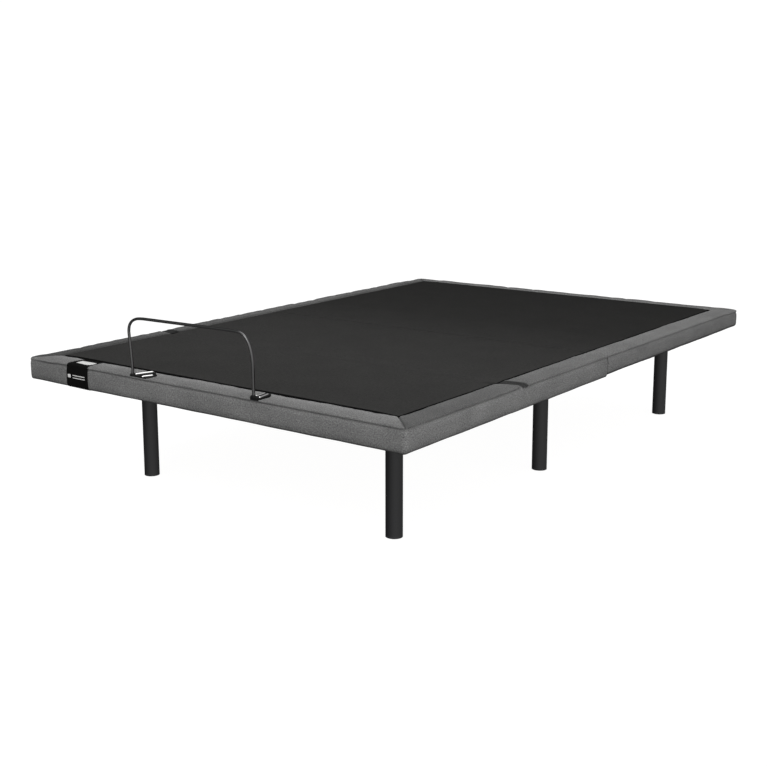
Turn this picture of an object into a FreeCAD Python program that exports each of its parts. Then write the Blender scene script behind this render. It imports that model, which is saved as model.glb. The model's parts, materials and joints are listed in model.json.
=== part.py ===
import FreeCAD, Part
import os
import Sketcher

# Adjustable bed base, full extra-long size.  Millimetres.
# Origin: on the floor, under the middle of the deck.  +Z up, +X to the sleeper's left,
# -Y is the foot end (the end with the mattress retainer), +Y is the head end.
# The deck is four padded panels in a row: foot, thigh, seat and head.  The seat is fixed
# to the steel frame; the others are raised by two motor-driven lift arms below them.

os.makedirs("parts", exist_ok=True)
doc = FreeCAD.newDocument("adjustable_bed_base")

# ---------------------------------------------------------------- driving dimensions

SIZES = {
    # deck outline and build-up
    "width": 1372, "length": 2032, "deck_top": 388, "rim_height": 62, "strip_width": 73,
    "skin": 3, "board": 15, "rim_board": 12, "foam": 8, "wrap": 2, "cover_gap": 1.5,
    # panel joints along the bed, and the gaps between neighbouring panels
    "knee_line": -500, "thigh_line": 10, "head_line": 250,
    "knee_gap": 6, "thigh_gap": 6, "head_gap": 11, "board_gap": 11, "knee_board_gap": 40,
    "fold_height": 381, "knee_height": 332, "cover_cut": 10, "under_cut": 20,
    # square stiffener bars and the strips that the lift rollers run along
    "stiffener_offset": 330, "stiffener": 18, "head_bar_start": 305, "head_bar_end": 970,
    "thigh_bar_start": -475, "thigh_bar_end": -45, "foot_bar_start": -975, "foot_bar_end": -530,
    "strip_inner": 198, "strip_outer": 234, "glide_strip": 4,
    "head_strip_start": 500, "head_strip_end": 605, "thigh_strip_start": -330, "thigh_strip_end": -250,
    # steel frame
    "rail_offset": 461, "rail_width": 30, "rail_height": 36, "rail_top": 364, "rail_wall": 2,
    "rail_reach": 925, "cross_depth": 30, "cross_height": 20, "cross_wall": 2, "end_cross": 905,
    # seat bolts with their packers, and the rubber pads on the rails
    "front_bolt_y": 70, "back_bolt_y": 200, "bolt": 4, "bolt_hole": 4.3, "bolt_head": 7,
    "bolt_head_height": 5, "packer_reach": 25, "pad_reach": 20, "pad_half_width": 12,
    "pad_clearance": 0.3, "pad_1": -850, "pad_2": -560, "pad_3": -440, "pad_4": -120, "pad_5": 330,
    "pad_6": 600, "pad_7": 850,
    # legs
    "leg_radius": 23.25, "leg_wall": 2, "leg_top": 324, "leg_cap": 6, "glide_height": 6,
    "plug_height": 20, "stud_radius": 5, "stud_top": 345, "foot_leg": -750, "middle_leg": 17,
    "head_leg": 889, "plate_width": 46, "plate_length": 80, "plate": 4,
    # leaf hinges between the panels
    "hinge_offset": 340, "hinge_length": 200, "knuckle_radius": 3.5, "hinge_pin": 1.9,
    "leaf": 2.5, "leaf_reach": 45, "leaf_tab": 2.8, "leaf_clearance": 0.3, "knuckle_1": 60,
    "knuckle_2": 60.5, "knuckle_3": 139.5, "knuckle_4": 140,
    # knee hinges and foot links
    "knee_offset": 300, "knee_plate": 5, "knee_boss": 12, "knee_pin": 6, "knee_reach": 70,
    "knee_flange_start": 22, "knee_flange": 3, "knee_flange_in": 16, "knee_flange_out": 10,
    "knee_spacing": 0.8, "pin_head": 9, "pin_head_height": 4, "pin_head_clearance": 0.4,
    "link_inner": 428, "link": 6, "link_height": 28, "link_pin": 5,
    "link_base_y": -600, "link_end_y": -860, "link_z": 313, "link_slack": 3.9,
    "link_eye_dy": -2.3, "link_eye_dz": -2.5, "link_eye_wall": 4, "link_plate_in": 421,
    "link_plate_out": 427, "link_flange_in": 400, "link_plate_reach": 16, "link_boss": 12,
    "link_pin_end": 438, "link_flange": 4, "base_plate_reach": 20, "base_boss": 14,
    "base_pin_head": 8, "base_pin_start": 424, "base_head_end": 427.4, "bracket_plate": 6,
    # lift arms
    "lift_height": 345, "head_lift_y": 270, "foot_lift_y": 0, "lift_radius": 16,
    "stub_radius": 10, "lift_half": 436, "stub_end": 445, "arm_offset": 200, "arm": 8,
    "arm_height": 28, "arm_reach": 300, "arm_rise": 2, "roller_radius": 18, "roller": 20,
    "axle_radius": 6, "fit": 0.05, "lever_gap": 16, "lever": 6, "lever_width": 34, "lever_hub": 24,
    "arm_hub": 19, "washer": 9, "washer_height": 3.5, "roller_clearance": 0.7, "axle_extra": 5,
    "bush_radius": 14, "bush_plate_reach": 24,
    # linear actuators
    "head_drive_x": -110, "foot_drive_x": 110, "drive_z": 290,
    "head_drive_y": -400, "foot_drive_y": 660, "drive_pin": 5,
    "tube_radius": 18, "tube_bore": 14.5, "rod_radius": 10, "rod_bore": 7, "screw_radius": 6,
    "motor_radius": 25, "motor_length": 115, "motor_offset": 58, "motor_start": 84,
    "motor_nose": 14, "motor_step": 4, "motor_boss": 10, "motor_boss_length": 8, "eye_radius": 12,
    "tail_half": 8, "rod_eye_half": 7, "pin_half": 17, "case_side": 26, "case_half": 25,
    "case_start": 16, "case_round": 6, "tube_start": 60, "tube_short": 60, "mouth": 12,
    "screw_start": 44, "screw_short": 12, "nut": 30, "rod_inside": 133, "rod_hollow": 126,
    "rod_neck": 28, "neck_half": 10, "ear_gap": 9, "ear_end": 14, "ear_reach": 13, "ear_drop": 12,
    # control box and power supply, hung below the cross tubes
    "box_left": -372, "box_right": -246, "box_front": 60, "box_back": 210, "box_drop": 34,
    "socket": 18, "socket_depth": 12, "socket_low": 24, "socket_high": 10,
    "socket_1": -355, "socket_2": -319, "socket_3": -283,
    "supply_left": 250, "supply_right": 322, "supply_front": 50, "supply_back": 222,
    "supply_drop": 38, "inlet_left": 273, "inlet_right": 299, "inlet_depth": 16, "inlet_low": 30,
    # mattress retainer
    "bar_middle": -19, "bar_half": 225, "bar_radius": 4.25, "bar_top": 556,
    "bend_left": 42, "bend_right": 68,
    "bar_y": -1007, "bar_foot": 391.5, "bracket_left": 13, "bracket_right": 50,
    "bracket_back": -950,
    "bracket_plate_height": 3, "socket_half": 11, "socket_length": 19, "socket_height": 13,
    "clamp_near": 15.5, "clamp_far": 41, "clamp_radius": 3.5, "clamp_wall": 2.5,
    "clamp_start": 4, "clamp_end": 1,
}

# how far a cutting shape reaches past the solid that it cuts
OVER = "1"

sheet = doc.addObject("Spreadsheet::Sheet", "dims")
for row, (alias, value) in enumerate(SIZES.items(), start=1):
    sheet.set("A%d" % row, alias)
    sheet.set("B%d" % row, str(value))
    sheet.setAlias("B%d" % row, alias)
doc.recompute()


def cell(alias):
    """The spreadsheet cell of that name, as an expression."""
    return "dims." + alias


def total(*terms):
    """The sum of expressions, each in brackets."""
    return " + ".join("(%s)" % term for term in terms)


def minus(term):
    return "-(%s)" % term


def half(term):
    return "(%s) / 2" % term


# heights and edges used by many pieces
HALF_WIDTH = half(cell("width"))
HALF_LENGTH = half(cell("length"))
RIM_BOTTOM = total(cell("deck_top"), minus(cell("rim_height")))
BOARD_TOP = total(cell("deck_top"), minus(cell("skin")))
BOARD_BOTTOM = total(BOARD_TOP, minus(cell("board")))
BOARD_EDGE = total(HALF_WIDTH, minus(cell("foam")))
BOARD_END = total(HALF_LENGTH, minus(cell("foam")))
RIM_INSIDE = total(BOARD_EDGE, minus(cell("rim_board")))
RIM_END_INSIDE = total(BOARD_END, minus(cell("rim_board")))
STRIP_INSIDE = total(HALF_WIDTH, minus(cell("strip_width")))
STRIP_END_INSIDE = total(HALF_LENGTH, minus(cell("strip_width")))
RAIL_BOTTOM = total(cell("rail_top"), minus(cell("rail_height")))
RAIL_INSIDE = total(cell("rail_offset"), minus(half(cell("rail_width"))))
RAIL_OUTSIDE = total(cell("rail_offset"), half(cell("rail_width")))
LEG_PLACES = [(side, place) for place in ("foot_leg", "middle_leg", "head_leg") for side in (-1, 1)]

# ---------------------------------------------------------------- making solids

pieces = []
counter = {"n": 0}


def new(kind, stem):
    """A document object with a name that nothing else has."""
    counter["n"] += 1
    return doc.addObject(kind, "%s_%d" % (stem, counter["n"]))


def signed(side, term):
    """The term on the +X side (side 1) or mirrored to the -X side (side -1)."""
    return term if side > 0 else minus(term)


def block(x_range, y_range, z_range):
    """A box between the two expressions given for each direction."""
    box = new("Part::Box", "block")
    spans = (("Length", "x", x_range), ("Width", "y", y_range), ("Height", "z", z_range))
    for size, direction, (low, high) in spans:
        box.setExpression(size, total(high, minus(low)))
        box.setExpression("Placement.Base." + direction, low)
    return box


def mirrored_block(side, x_range, y_range, z_range):
    """A box given on the +X side, or its mirror image on the -X side."""
    low, high = x_range
    if side < 0:
        low, high = minus(high), minus(low)
    return block((low, high), y_range, z_range)


AXIS_TURNS = {
    "x": FreeCAD.Rotation(FreeCAD.Vector(0, 1, 0), 90),
    "y": FreeCAD.Rotation(FreeCAD.Vector(1, 0, 0), -90),
    "z": FreeCAD.Rotation(),
}


def rod(axis, start, length, radius):
    """A round bar from the start point (three expressions) along an axis."""
    bar = new("Part::Cylinder", "rod")
    bar.Placement = FreeCAD.Placement(FreeCAD.Vector(), AXIS_TURNS[axis])
    bar.setExpression("Radius", radius)
    bar.setExpression("Height", length)
    for direction, term in zip("xyz", start):
        bar.setExpression("Placement.Base." + direction, term)
    return bar


def mirrored_rod(side, x_range, y, z, radius):
    """A round bar along X between two expressions given for the +X side."""
    low, high = x_range
    if side < 0:
        low, high = minus(high), minus(low)
    return rod("x", (low, y, z), total(high, minus(low)), radius)


def fuse(*shapes):
    joined = new("Part::MultiFuse", "fuse")
    joined.Shapes = list(shapes)
    return joined


def cut(base, *tools):
    """The base with every tool taken away."""
    result = base
    for tool in tools:
        step = new("Part::Cut", "cut")
        step.Base = result
        step.Tool = tool
        result = step
    return result


def group(*shapes):
    """Separate solids that share one node."""
    together = new("Part::Compound", "group")
    together.Links = list(shapes)
    return together


def past(x_range):
    """The same span, made longer at both ends for a cutting shape."""
    return (total(x_range[0], minus(OVER)), total(x_range[1], OVER))


def tilt(shape, y, z, degrees):
    """The shape, made about its own origin, put at (y, z) and turned about X."""
    turned = group(shape)
    turned.Placement = FreeCAD.Placement(FreeCAD.Vector(), FreeCAD.Rotation(FreeCAD.Vector(1, 0, 0), degrees))
    turned.setExpression("Placement.Base.y", y)
    turned.setExpression("Placement.Base.z", z)
    return turned


def keep(name, shape):
    """Name a finished sub-part: its label is its node's name."""
    shape.Label = name
    pieces.append(shape)
    return shape


# ---------------------------------------------------------------- padded deck panels

def panel(name, low, high, low_gap, high_gap, end=None):
    """Board, rim boards, padded border and deck cover of one panel of the deck.

    low and high are its joint lines; end is "foot" or "head" where the border turns
    across the end of the bed.
    """
    board_low = total(low, half(low_gap["board"]))
    board_high = total(high, minus(half(high_gap["board"])))
    skin_low = total(low, half(low_gap["skin"]))
    skin_high = total(high, minus(half(high_gap["skin"])))
    inner_low, inner_high = board_low, board_high
    strip_low, strip_high = skin_low, skin_high
    if end == "foot":
        board_low, skin_low = minus(BOARD_END), minus(HALF_LENGTH)
        inner_low, strip_low = minus(RIM_END_INSIDE), minus(STRIP_END_INSIDE)
    if end == "head":
        board_high, skin_high = BOARD_END, HALF_LENGTH
        inner_high, strip_high = RIM_END_INSIDE, STRIP_END_INSIDE

    deck_board = block((minus(BOARD_EDGE), BOARD_EDGE), (board_low, board_high), (BOARD_BOTTOM, BOARD_TOP))

    rim_heights = (total(RIM_BOTTOM, cell("wrap")), BOARD_BOTTOM)
    rims = [mirrored_block(side, (RIM_INSIDE, BOARD_EDGE), (inner_low, inner_high), rim_heights)
            for side in (-1, 1)]
    if end == "foot":
        rims.append(block((minus(BOARD_EDGE), BOARD_EDGE), (board_low, inner_low), rim_heights))
    if end == "head":
        rims.append(block((minus(BOARD_EDGE), BOARD_EDGE), (inner_high, board_high), rim_heights))
    keep(name + "_rim_boards", group(*rims))

    # the border is a block with the boards, the space inside the rim and the middle taken out
    outer = block((minus(HALF_WIDTH), HALF_WIDTH), (skin_low, skin_high), (RIM_BOTTOM, cell("deck_top")))
    past_low = board_low if end == "foot" else total(skin_low, minus(OVER))
    past_high = board_high if end == "head" else total(skin_high, OVER)
    boards = block((minus(BOARD_EDGE), BOARD_EDGE), (past_low, past_high), (rim_heights[0], BOARD_TOP))
    under_low = inner_low if end == "foot" else past_low
    under_high = inner_high if end == "head" else past_high
    under = block((minus(RIM_INSIDE), RIM_INSIDE), (under_low, under_high),
                  (total(RIM_BOTTOM, minus(OVER)), total(cell("deck_top"), minus(cell("under_cut")))))
    top_low = strip_low if end == "foot" else past_low
    top_high = strip_high if end == "head" else past_high
    middle = block((minus(STRIP_INSIDE), STRIP_INSIDE), (top_low, top_high),
                   (total(cell("deck_top"), minus(cell("cover_cut"))), total(cell("deck_top"), OVER)))
    keep(name + "_border", cut(outer, boards, under, middle))

    cover_low = total(strip_low, cell("cover_gap")) if end == "foot" else strip_low
    cover_high = total(strip_high, minus(cell("cover_gap"))) if end == "head" else strip_high
    cover_edge = total(STRIP_INSIDE, minus(cell("cover_gap")))
    keep(name + "_deck_cover", block((minus(cover_edge), cover_edge), (cover_low, cover_high),
                                     (BOARD_TOP, cell("deck_top"))))
    return deck_board


KNEE_GAP = {"board": cell("knee_board_gap"), "skin": cell("knee_gap")}
THIGH_GAP = {"board": cell("board_gap"), "skin": cell("thigh_gap")}
HEAD_GAP = {"board": cell("board_gap"), "skin": cell("head_gap")}

SEAT_BOLT_Y = (cell("front_bolt_y"), cell("back_bolt_y"))


def seat_bolt_holes(radius, low, high):
    return [rod("z", (signed(side, cell("rail_offset")), y, low), total(high, minus(low)), radius)
            for side in (-1, 1) for y in SEAT_BOLT_Y]


keep("foot_board", panel("foot", minus(HALF_LENGTH), cell("knee_line"), KNEE_GAP, KNEE_GAP, "foot"))
keep("thigh_board", panel("thigh", cell("knee_line"), cell("thigh_line"), KNEE_GAP, THIGH_GAP))
seat_board = panel("seat", cell("thigh_line"), cell("head_line"), THIGH_GAP, HEAD_GAP)
keep("seat_board", cut(seat_board, *seat_bolt_holes(cell("bolt_hole"), BOARD_BOTTOM, BOARD_TOP)))
keep("head_board", panel("head", cell("head_line"), HALF_LENGTH, HEAD_GAP, HEAD_GAP, "head"))


def stiffeners(name, y_range):
    """Two square steel bars screwed along the underside of a panel."""
    reach = half(cell("stiffener"))
    x_range = (total(cell("stiffener_offset"), minus(reach)), total(cell("stiffener_offset"), reach))
    z_range = (total(BOARD_BOTTOM, minus(cell("stiffener"))), BOARD_BOTTOM)
    bars = [mirrored_block(side, x_range, y_range, z_range) for side in (-1, 1)]
    return keep(name, group(*bars))


for panel_name in ("head", "thigh", "foot"):
    stiffeners(panel_name + "_stiffeners", (cell(panel_name + "_bar_start"), cell(panel_name + "_bar_end")))


def glide_strips(name, y_range):
    """Two slippery plastic strips that the lift rollers run along."""
    x_range = (cell("strip_inner"), cell("strip_outer"))
    z_range = (total(BOARD_BOTTOM, minus(cell("glide_strip"))), BOARD_BOTTOM)
    strips = [mirrored_block(side, x_range, y_range, z_range) for side in (-1, 1)]
    return keep(name, group(*strips))


for panel_name in ("head", "thigh"):
    glide_strips(panel_name + "_glide_strips",
                 (cell(panel_name + "_strip_start"), cell(panel_name + "_strip_end")))

# ---------------------------------------------------------------- steel frame


def side_rail(side):
    """A rectangular steel tube with its three leg plates welded below it."""
    ends = (minus(cell("rail_reach")), cell("rail_reach"))
    outer = mirrored_block(side, (RAIL_INSIDE, RAIL_OUTSIDE), ends, (RAIL_BOTTOM, cell("rail_top")))
    bore = mirrored_block(
        side,
        (total(RAIL_INSIDE, cell("rail_wall")), total(RAIL_OUTSIDE, minus(cell("rail_wall")))),
        past(ends),
        (total(RAIL_BOTTOM, cell("rail_wall")), total(cell("rail_top"), minus(cell("rail_wall")))),
    )
    reach = half(cell("plate_width"))
    plates = []
    holes = []
    for leg_side, place in LEG_PLACES:
        if leg_side != side:
            continue
        y = cell(place)
        plates.append(mirrored_block(
            side,
            (total(cell("rail_offset"), minus(reach)), total(cell("rail_offset"), reach)),
            (total(y, minus(half(cell("plate_length")))), total(y, half(cell("plate_length")))),
            (total(RAIL_BOTTOM, minus(cell("plate"))), RAIL_BOTTOM),
        ))
        stud_hole = total(cell("plate"), cell("rail_wall"), OVER)
        holes.append(rod("z", (signed(side, cell("rail_offset")), y, cell("leg_top")), stud_hole,
                         total(cell("stud_radius"), cell("fit"))))
    bolt_hole = total(cell("rail_height"), OVER, OVER)
    bolt_holes = [rod("z", (signed(side, cell("rail_offset")), y, total(RAIL_BOTTOM, minus(OVER))), bolt_hole,
                      cell("bolt_hole")) for y in SEAT_BOLT_Y]
    return cut(fuse(outer, *plates), bore, *holes, *bolt_holes)


keep("side_rails", group(side_rail(-1), side_rail(1)))


def cross_tube(y):
    """A hollow steel cross tube between the rails, centred on y."""
    y_range = (total(y, minus(half(cell("cross_depth")))), total(y, half(cell("cross_depth"))))
    z_range = (RAIL_BOTTOM, total(RAIL_BOTTOM, cell("cross_height")))
    outer = block((minus(RAIL_INSIDE), RAIL_INSIDE), y_range, z_range)
    wall = cell("cross_wall")
    bore = block(past((minus(RAIL_INSIDE), RAIL_INSIDE)),
                 (total(y_range[0], wall), total(y_range[1], minus(wall))),
                 (total(z_range[0], wall), total(z_range[1], minus(wall))))
    return cut(outer, bore)


CROSS_TUBE_Y = (minus(cell("end_cross")), cell("head_drive_y"), *SEAT_BOLT_Y, cell("foot_drive_y"),
                cell("end_cross"))
keep("cross_tubes", group(*[cross_tube(y) for y in CROSS_TUBE_Y]))

PAD_PLACES = [cell("pad_%d" % number) for number in range(1, 8)]


def rail_pads():
    """Rubber buffers on the rails that the lowered panels rest on."""
    across, along = cell("pad_half_width"), cell("pad_reach")
    x_range = (total(cell("rail_offset"), minus(across)), total(cell("rail_offset"), across))
    z_range = (cell("rail_top"), total(BOARD_BOTTOM, minus(cell("pad_clearance"))))
    return [mirrored_block(side, x_range, (total(y, minus(along)), total(y, along)), z_range)
            for side in (-1, 1) for y in PAD_PLACES]


keep("rail_pads", group(*rail_pads()))


def seat_spacer(side, y):
    """A flat steel packer between rail and seat board, with its bolt hole."""
    reach = cell("packer_reach")
    packer = mirrored_block(side, (RAIL_INSIDE, RAIL_OUTSIDE), (total(y, minus(reach)), total(y, reach)),
                            (cell("rail_top"), BOARD_BOTTOM))
    low, high = past((cell("rail_top"), BOARD_BOTTOM))
    hole = rod("z", (signed(side, cell("rail_offset")), y, low), total(high, minus(low)), cell("bolt_hole"))
    return cut(packer, hole)


keep("seat_spacers", group(*[seat_spacer(side, y) for side in (-1, 1) for y in SEAT_BOLT_Y]))


def seat_bolt(side, y):
    """A bolt up through rail, packer and board, with its head below the rail."""
    x = signed(side, cell("rail_offset"))
    under = total(RAIL_BOTTOM, minus(cell("bolt_head_height")))
    shank = rod("z", (x, y, under), total(BOARD_TOP, minus(under)), cell("bolt"))
    head = rod("z", (x, y, under), cell("bolt_head_height"), cell("bolt_head"))
    return fuse(shank, head)


keep("seat_bolts", group(*[seat_bolt(side, y) for side in (-1, 1) for y in SEAT_BOLT_Y]))

# ---------------------------------------------------------------- legs


def origin_plane(body, role):
    """One of a body's own origin planes."""
    return [plane for plane in body.Origin.OriginFeatures if plane.Role == role][0]


def leg(side, place, name):
    """A round steel leg, hollow below its cap, with a threaded stud on top."""
    body = doc.addObject("PartDesign::Body", "leg_body_" + name)
    sketch = body.newObject("Sketcher::SketchObject", "leg_profile_" + name)
    sketch.AttachmentSupport = [(origin_plane(body, "XZ_Plane"), "")]
    sketch.MapMode = "FlatFace"
    corners = [
        ("leg_inner", cell("glide_height")), ("leg_radius", cell("glide_height")),
        ("leg_radius", cell("leg_top")), ("stud_radius", cell("leg_top")),
        ("stud_radius", cell("stud_top")), ("axis", cell("stud_top")),
        ("axis", total(cell("leg_top"), minus(cell("leg_cap")))),
        ("leg_inner", total(cell("leg_top"), minus(cell("leg_cap")))),
    ]
    radii = {
        "axis": "0", "leg_radius": cell("leg_radius"), "stud_radius": cell("stud_radius"),
        "leg_inner": total(cell("leg_radius"), minus(cell("leg_wall"))),
    }
    rough = {
        "axis": 0.0, "leg_radius": SIZES["leg_radius"], "stud_radius": SIZES["stud_radius"],
        "leg_inner": SIZES["leg_radius"] - SIZES["leg_wall"],
    }
    glide, top, stud = SIZES["glide_height"], SIZES["leg_top"], SIZES["stud_top"]
    below_cap = top - SIZES["leg_cap"]
    heights = [glide, glide, top, top, stud, stud, below_cap, below_cap]
    points = [FreeCAD.Vector(rough[key], height, 0) for (key, _), height in zip(corners, heights)]
    count = len(points)
    for index in range(count):
        sketch.addGeometry(Part.LineSegment(points[index], points[(index + 1) % count]), False)
    for index in range(count):
        sketch.addConstraint(Sketcher.Constraint("Coincident", index, 2, (index + 1) % count, 1))
    for index, (key, height) in enumerate(corners):
        if key == "axis":
            sketch.addConstraint(Sketcher.Constraint("PointOnObject", index, 1, -2))
        else:
            number = sketch.addConstraint(Sketcher.Constraint("DistanceX", -1, 1, index, 1, rough[key]))
            sketch.setExpression("Constraints[%d]" % number, radii[key])
        number = sketch.addConstraint(Sketcher.Constraint("DistanceY", -1, 1, index, 1, heights[index]))
        sketch.setExpression("Constraints[%d]" % number, height)
    turning = body.newObject("PartDesign::Revolution", "leg_turning_" + name)
    turning.Profile = sketch
    turning.ReferenceAxis = (sketch, ["V_Axis"])
    turning.Angle = 360.0
    body.Tip = turning
    body.setExpression("Placement.Base.x", signed(side, cell("rail_offset")))
    body.setExpression("Placement.Base.y", cell(place))
    return body


for place in ("foot_leg", "middle_leg", "head_leg"):
    keep(place + "s", group(leg(-1, place, "left_" + place), leg(1, place, "right_" + place)))


def leg_glide(side, place):
    """A plastic foot with a plug that pushes up inside the leg tube."""
    x = signed(side, cell("rail_offset"))
    inner = total(cell("leg_radius"), minus(cell("leg_wall")))
    sole = rod("z", (x, cell(place), "0"), cell("glide_height"), cell("leg_radius"))
    plug = rod("z", (x, cell(place), "0"), cell("plug_height"), inner)
    return fuse(sole, plug)


keep("leg_glides", group(*[leg_glide(side, place) for side, place in LEG_PLACES]))

# ---------------------------------------------------------------- leaf hinges


def hinge_leaf(side, fold_y, direction, knuckles):
    """A cranked hinge leaf under a board, with its knuckles in the gap between the boards.

    direction is +1 for the board on the head side of the fold and -1 for the other.
    knuckles are (start, end) distances along the hinge.
    """
    middle = signed(side, cell("hinge_offset"))
    start = total(middle, minus(half(cell("hinge_length"))))
    near = total(half(cell("board_gap")), minus(cell("leaf_clearance")))
    tab_start = total(near, minus(cell("leaf_tab")))
    x_range = (start, total(start, cell("hinge_length")))

    def along(low, high):
        if direction > 0:
            return (total(fold_y, low), total(fold_y, high))
        return (total(fold_y, minus(high)), total(fold_y, minus(low)))

    flange = block(x_range, along(tab_start, total(near, cell("leaf_reach"))),
                   (total(BOARD_BOTTOM, minus(cell("leaf"))), BOARD_BOTTOM))
    parts = [flange]
    for low, high in knuckles:
        tab_range = (total(start, low), total(start, high))
        parts.append(block(tab_range, along(tab_start, near),
                           (total(BOARD_BOTTOM, minus(cell("leaf"))), cell("fold_height"))))
        parts.append(rod("x", (tab_range[0], fold_y, cell("fold_height")), total(high, minus(low)),
                         cell("knuckle_radius")))
    low, high = past(x_range)
    bore = rod("x", (low, fold_y, cell("fold_height")), total(high, minus(low)),
               total(cell("hinge_pin"), cell("fit")))
    return cut(fuse(*parts), bore)


OUTER_KNUCKLES = (("0", cell("knuckle_1")), (cell("knuckle_4"), cell("hinge_length")))
MIDDLE_KNUCKLE = ((cell("knuckle_2"), cell("knuckle_3")),)


def hinge_pin(side, fold_y):
    start = total(signed(side, cell("hinge_offset")), minus(half(cell("hinge_length"))))
    return rod("x", (start, fold_y, cell("fold_height")), cell("hinge_length"), cell("hinge_pin"))


THIGH_FOLD = cell("thigh_line")
HEAD_FOLD = cell("head_line")
keep("seat_hinge_leaves", group(*(
    [hinge_leaf(side, THIGH_FOLD, 1, OUTER_KNUCKLES) for side in (-1, 1)]
    + [hinge_leaf(side, HEAD_FOLD, -1, OUTER_KNUCKLES) for side in (-1, 1)])))
keep("head_hinge_leaves", group(*[hinge_leaf(side, HEAD_FOLD, 1, MIDDLE_KNUCKLE) for side in (-1, 1)]))
keep("thigh_hinge_leaves", group(*[hinge_leaf(side, THIGH_FOLD, -1, MIDDLE_KNUCKLE) for side in (-1, 1)]))
keep("deck_hinge_pins", group(*[hinge_pin(side, fold) for fold in (THIGH_FOLD, HEAD_FOLD)
                                for side in (-1, 1)]))

# ---------------------------------------------------------------- knee hinges and foot links

KNEE_Y = cell("knee_line")
KNEE_Z = cell("knee_height")


def knee_plate(side, direction, inner):
    """A steel ear under one panel, with a boss round the knee axis and a screwed flange."""
    x_range = (inner, total(inner, cell("knee_plate")))
    boss = mirrored_rod(side, x_range, KNEE_Y, KNEE_Z, cell("knee_boss"))
    far, near = cell("knee_reach"), cell("knee_flange_start")
    if direction > 0:
        web_range = (KNEE_Y, total(KNEE_Y, far))
        flange_range = (total(KNEE_Y, near), total(KNEE_Y, far))
        flange_x = (total(inner, minus(cell("knee_flange_in"))), x_range[1])
    else:
        web_range = (total(KNEE_Y, minus(far)), KNEE_Y)
        flange_range = (total(KNEE_Y, minus(far)), total(KNEE_Y, minus(near)))
        flange_x = (inner, total(x_range[1], cell("knee_flange_out")))
    web = mirrored_block(side, x_range, web_range, (KNEE_Z, BOARD_BOTTOM))
    flange = mirrored_block(side, flange_x, flange_range,
                            (total(BOARD_BOTTOM, minus(cell("knee_flange"))), BOARD_BOTTOM))
    clear_pin = mirrored_rod(side, past(x_range), KNEE_Y, KNEE_Z, total(cell("knee_pin"), cell("fit")))
    return cut(fuse(boss, web, flange), clear_pin)


def knee_pin(side):
    """A shouldered pin through both ears of one knee hinge, with a head at each end."""
    inner = cell("knee_offset")
    outer = total(SECOND_EAR, cell("knee_plate"))
    height, gap = cell("pin_head_height"), cell("pin_head_clearance")
    start, end = total(inner, minus(height)), total(outer, height)
    shank = mirrored_rod(side, (start, end), KNEE_Y, KNEE_Z, cell("knee_pin"))
    head = mirrored_rod(side, (start, total(inner, minus(gap))), KNEE_Y, KNEE_Z, cell("pin_head"))
    tail = mirrored_rod(side, (total(outer, gap), end), KNEE_Y, KNEE_Z, cell("pin_head"))
    return fuse(shank, head, tail)


SECOND_EAR = total(cell("knee_offset"), cell("knee_plate"), cell("knee_spacing"))
keep("thigh_knee_brackets", group(*[knee_plate(side, 1, cell("knee_offset")) for side in (-1, 1)]))
keep("foot_knee_brackets", group(*[knee_plate(side, -1, SECOND_EAR) for side in (-1, 1)]))
keep("knee_pins", group(*[knee_pin(side) for side in (-1, 1)]))

LINK_X = (cell("link_inner"), total(cell("link_inner"), cell("link")))


def foot_link(side):
    """A flat bar that holds the foot panel's slope, with a wide eye at its foot end."""
    base_y, end_y, z = cell("link_base_y"), cell("link_end_y"), cell("link_z")
    reach = half(cell("link_height"))
    bar = mirrored_block(side, LINK_X, (end_y, base_y), (total(z, minus(reach)), total(z, reach)))
    base_eye = mirrored_rod(side, LINK_X, base_y, z, reach)
    end_eye = mirrored_rod(side, LINK_X, end_y, z, total(reach, cell("link_eye_wall")))
    base_bore = mirrored_rod(side, past(LINK_X), base_y, z, total(cell("link_pin"), cell("fit")))
    end_bore = mirrored_rod(side, past(LINK_X), total(end_y, cell("link_eye_dy")),
                            total(z, cell("link_eye_dz")), total(cell("link_pin"), cell("link_slack")))
    return cut(fuse(bar, base_eye, end_eye), base_bore, end_bore)


keep("foot_links", group(*[foot_link(side) for side in (-1, 1)]))


def foot_link_bracket(side):
    """An angle bracket under the foot board, with the pin for the link's wide eye."""
    x_range = (cell("link_plate_in"), cell("link_plate_out"))
    y, z = cell("link_end_y"), cell("link_z")
    y_range = (total(y, minus(cell("link_plate_reach"))), total(y, cell("link_plate_reach")))
    web = mirrored_block(side, x_range, y_range, (z, BOARD_BOTTOM))
    boss = mirrored_rod(side, x_range, y, z, cell("link_boss"))
    flange = mirrored_block(side, (cell("link_flange_in"), x_range[1]), y_range,
                            (total(BOARD_BOTTOM, minus(cell("link_flange"))), BOARD_BOTTOM))
    pin = mirrored_rod(side, (x_range[0], cell("link_pin_end")), y, z, cell("link_pin"))
    return fuse(web, boss, flange, pin)


keep("foot_link_brackets", group(*[foot_link_bracket(side) for side in (-1, 1)]))

# ---------------------------------------------------------------- brackets on the frame


# the plates that stand inside each rail
PLATE_X = (total(RAIL_INSIDE, minus(cell("bracket_plate"))), RAIL_INSIDE)


def link_base_bracket(side):
    """A plate inside the rail with a fixed pin, where the foot link starts."""
    y, z = cell("link_base_y"), cell("link_z")
    reach = cell("base_plate_reach")
    plate = mirrored_block(side, PLATE_X, (total(y, minus(reach)), total(y, reach)),
                           (z, total(cell("rail_top"), minus(cell("bracket_plate")))))
    boss = mirrored_rod(side, PLATE_X, y, z, cell("base_boss"))
    pin = mirrored_rod(side, (cell("base_pin_start"), RAIL_INSIDE), y, z, cell("link_pin"))
    head = mirrored_rod(side, (cell("base_pin_start"), cell("base_head_end")), y, z,
                        cell("base_pin_head"))
    return fuse(plate, boss, pin, head)


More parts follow.
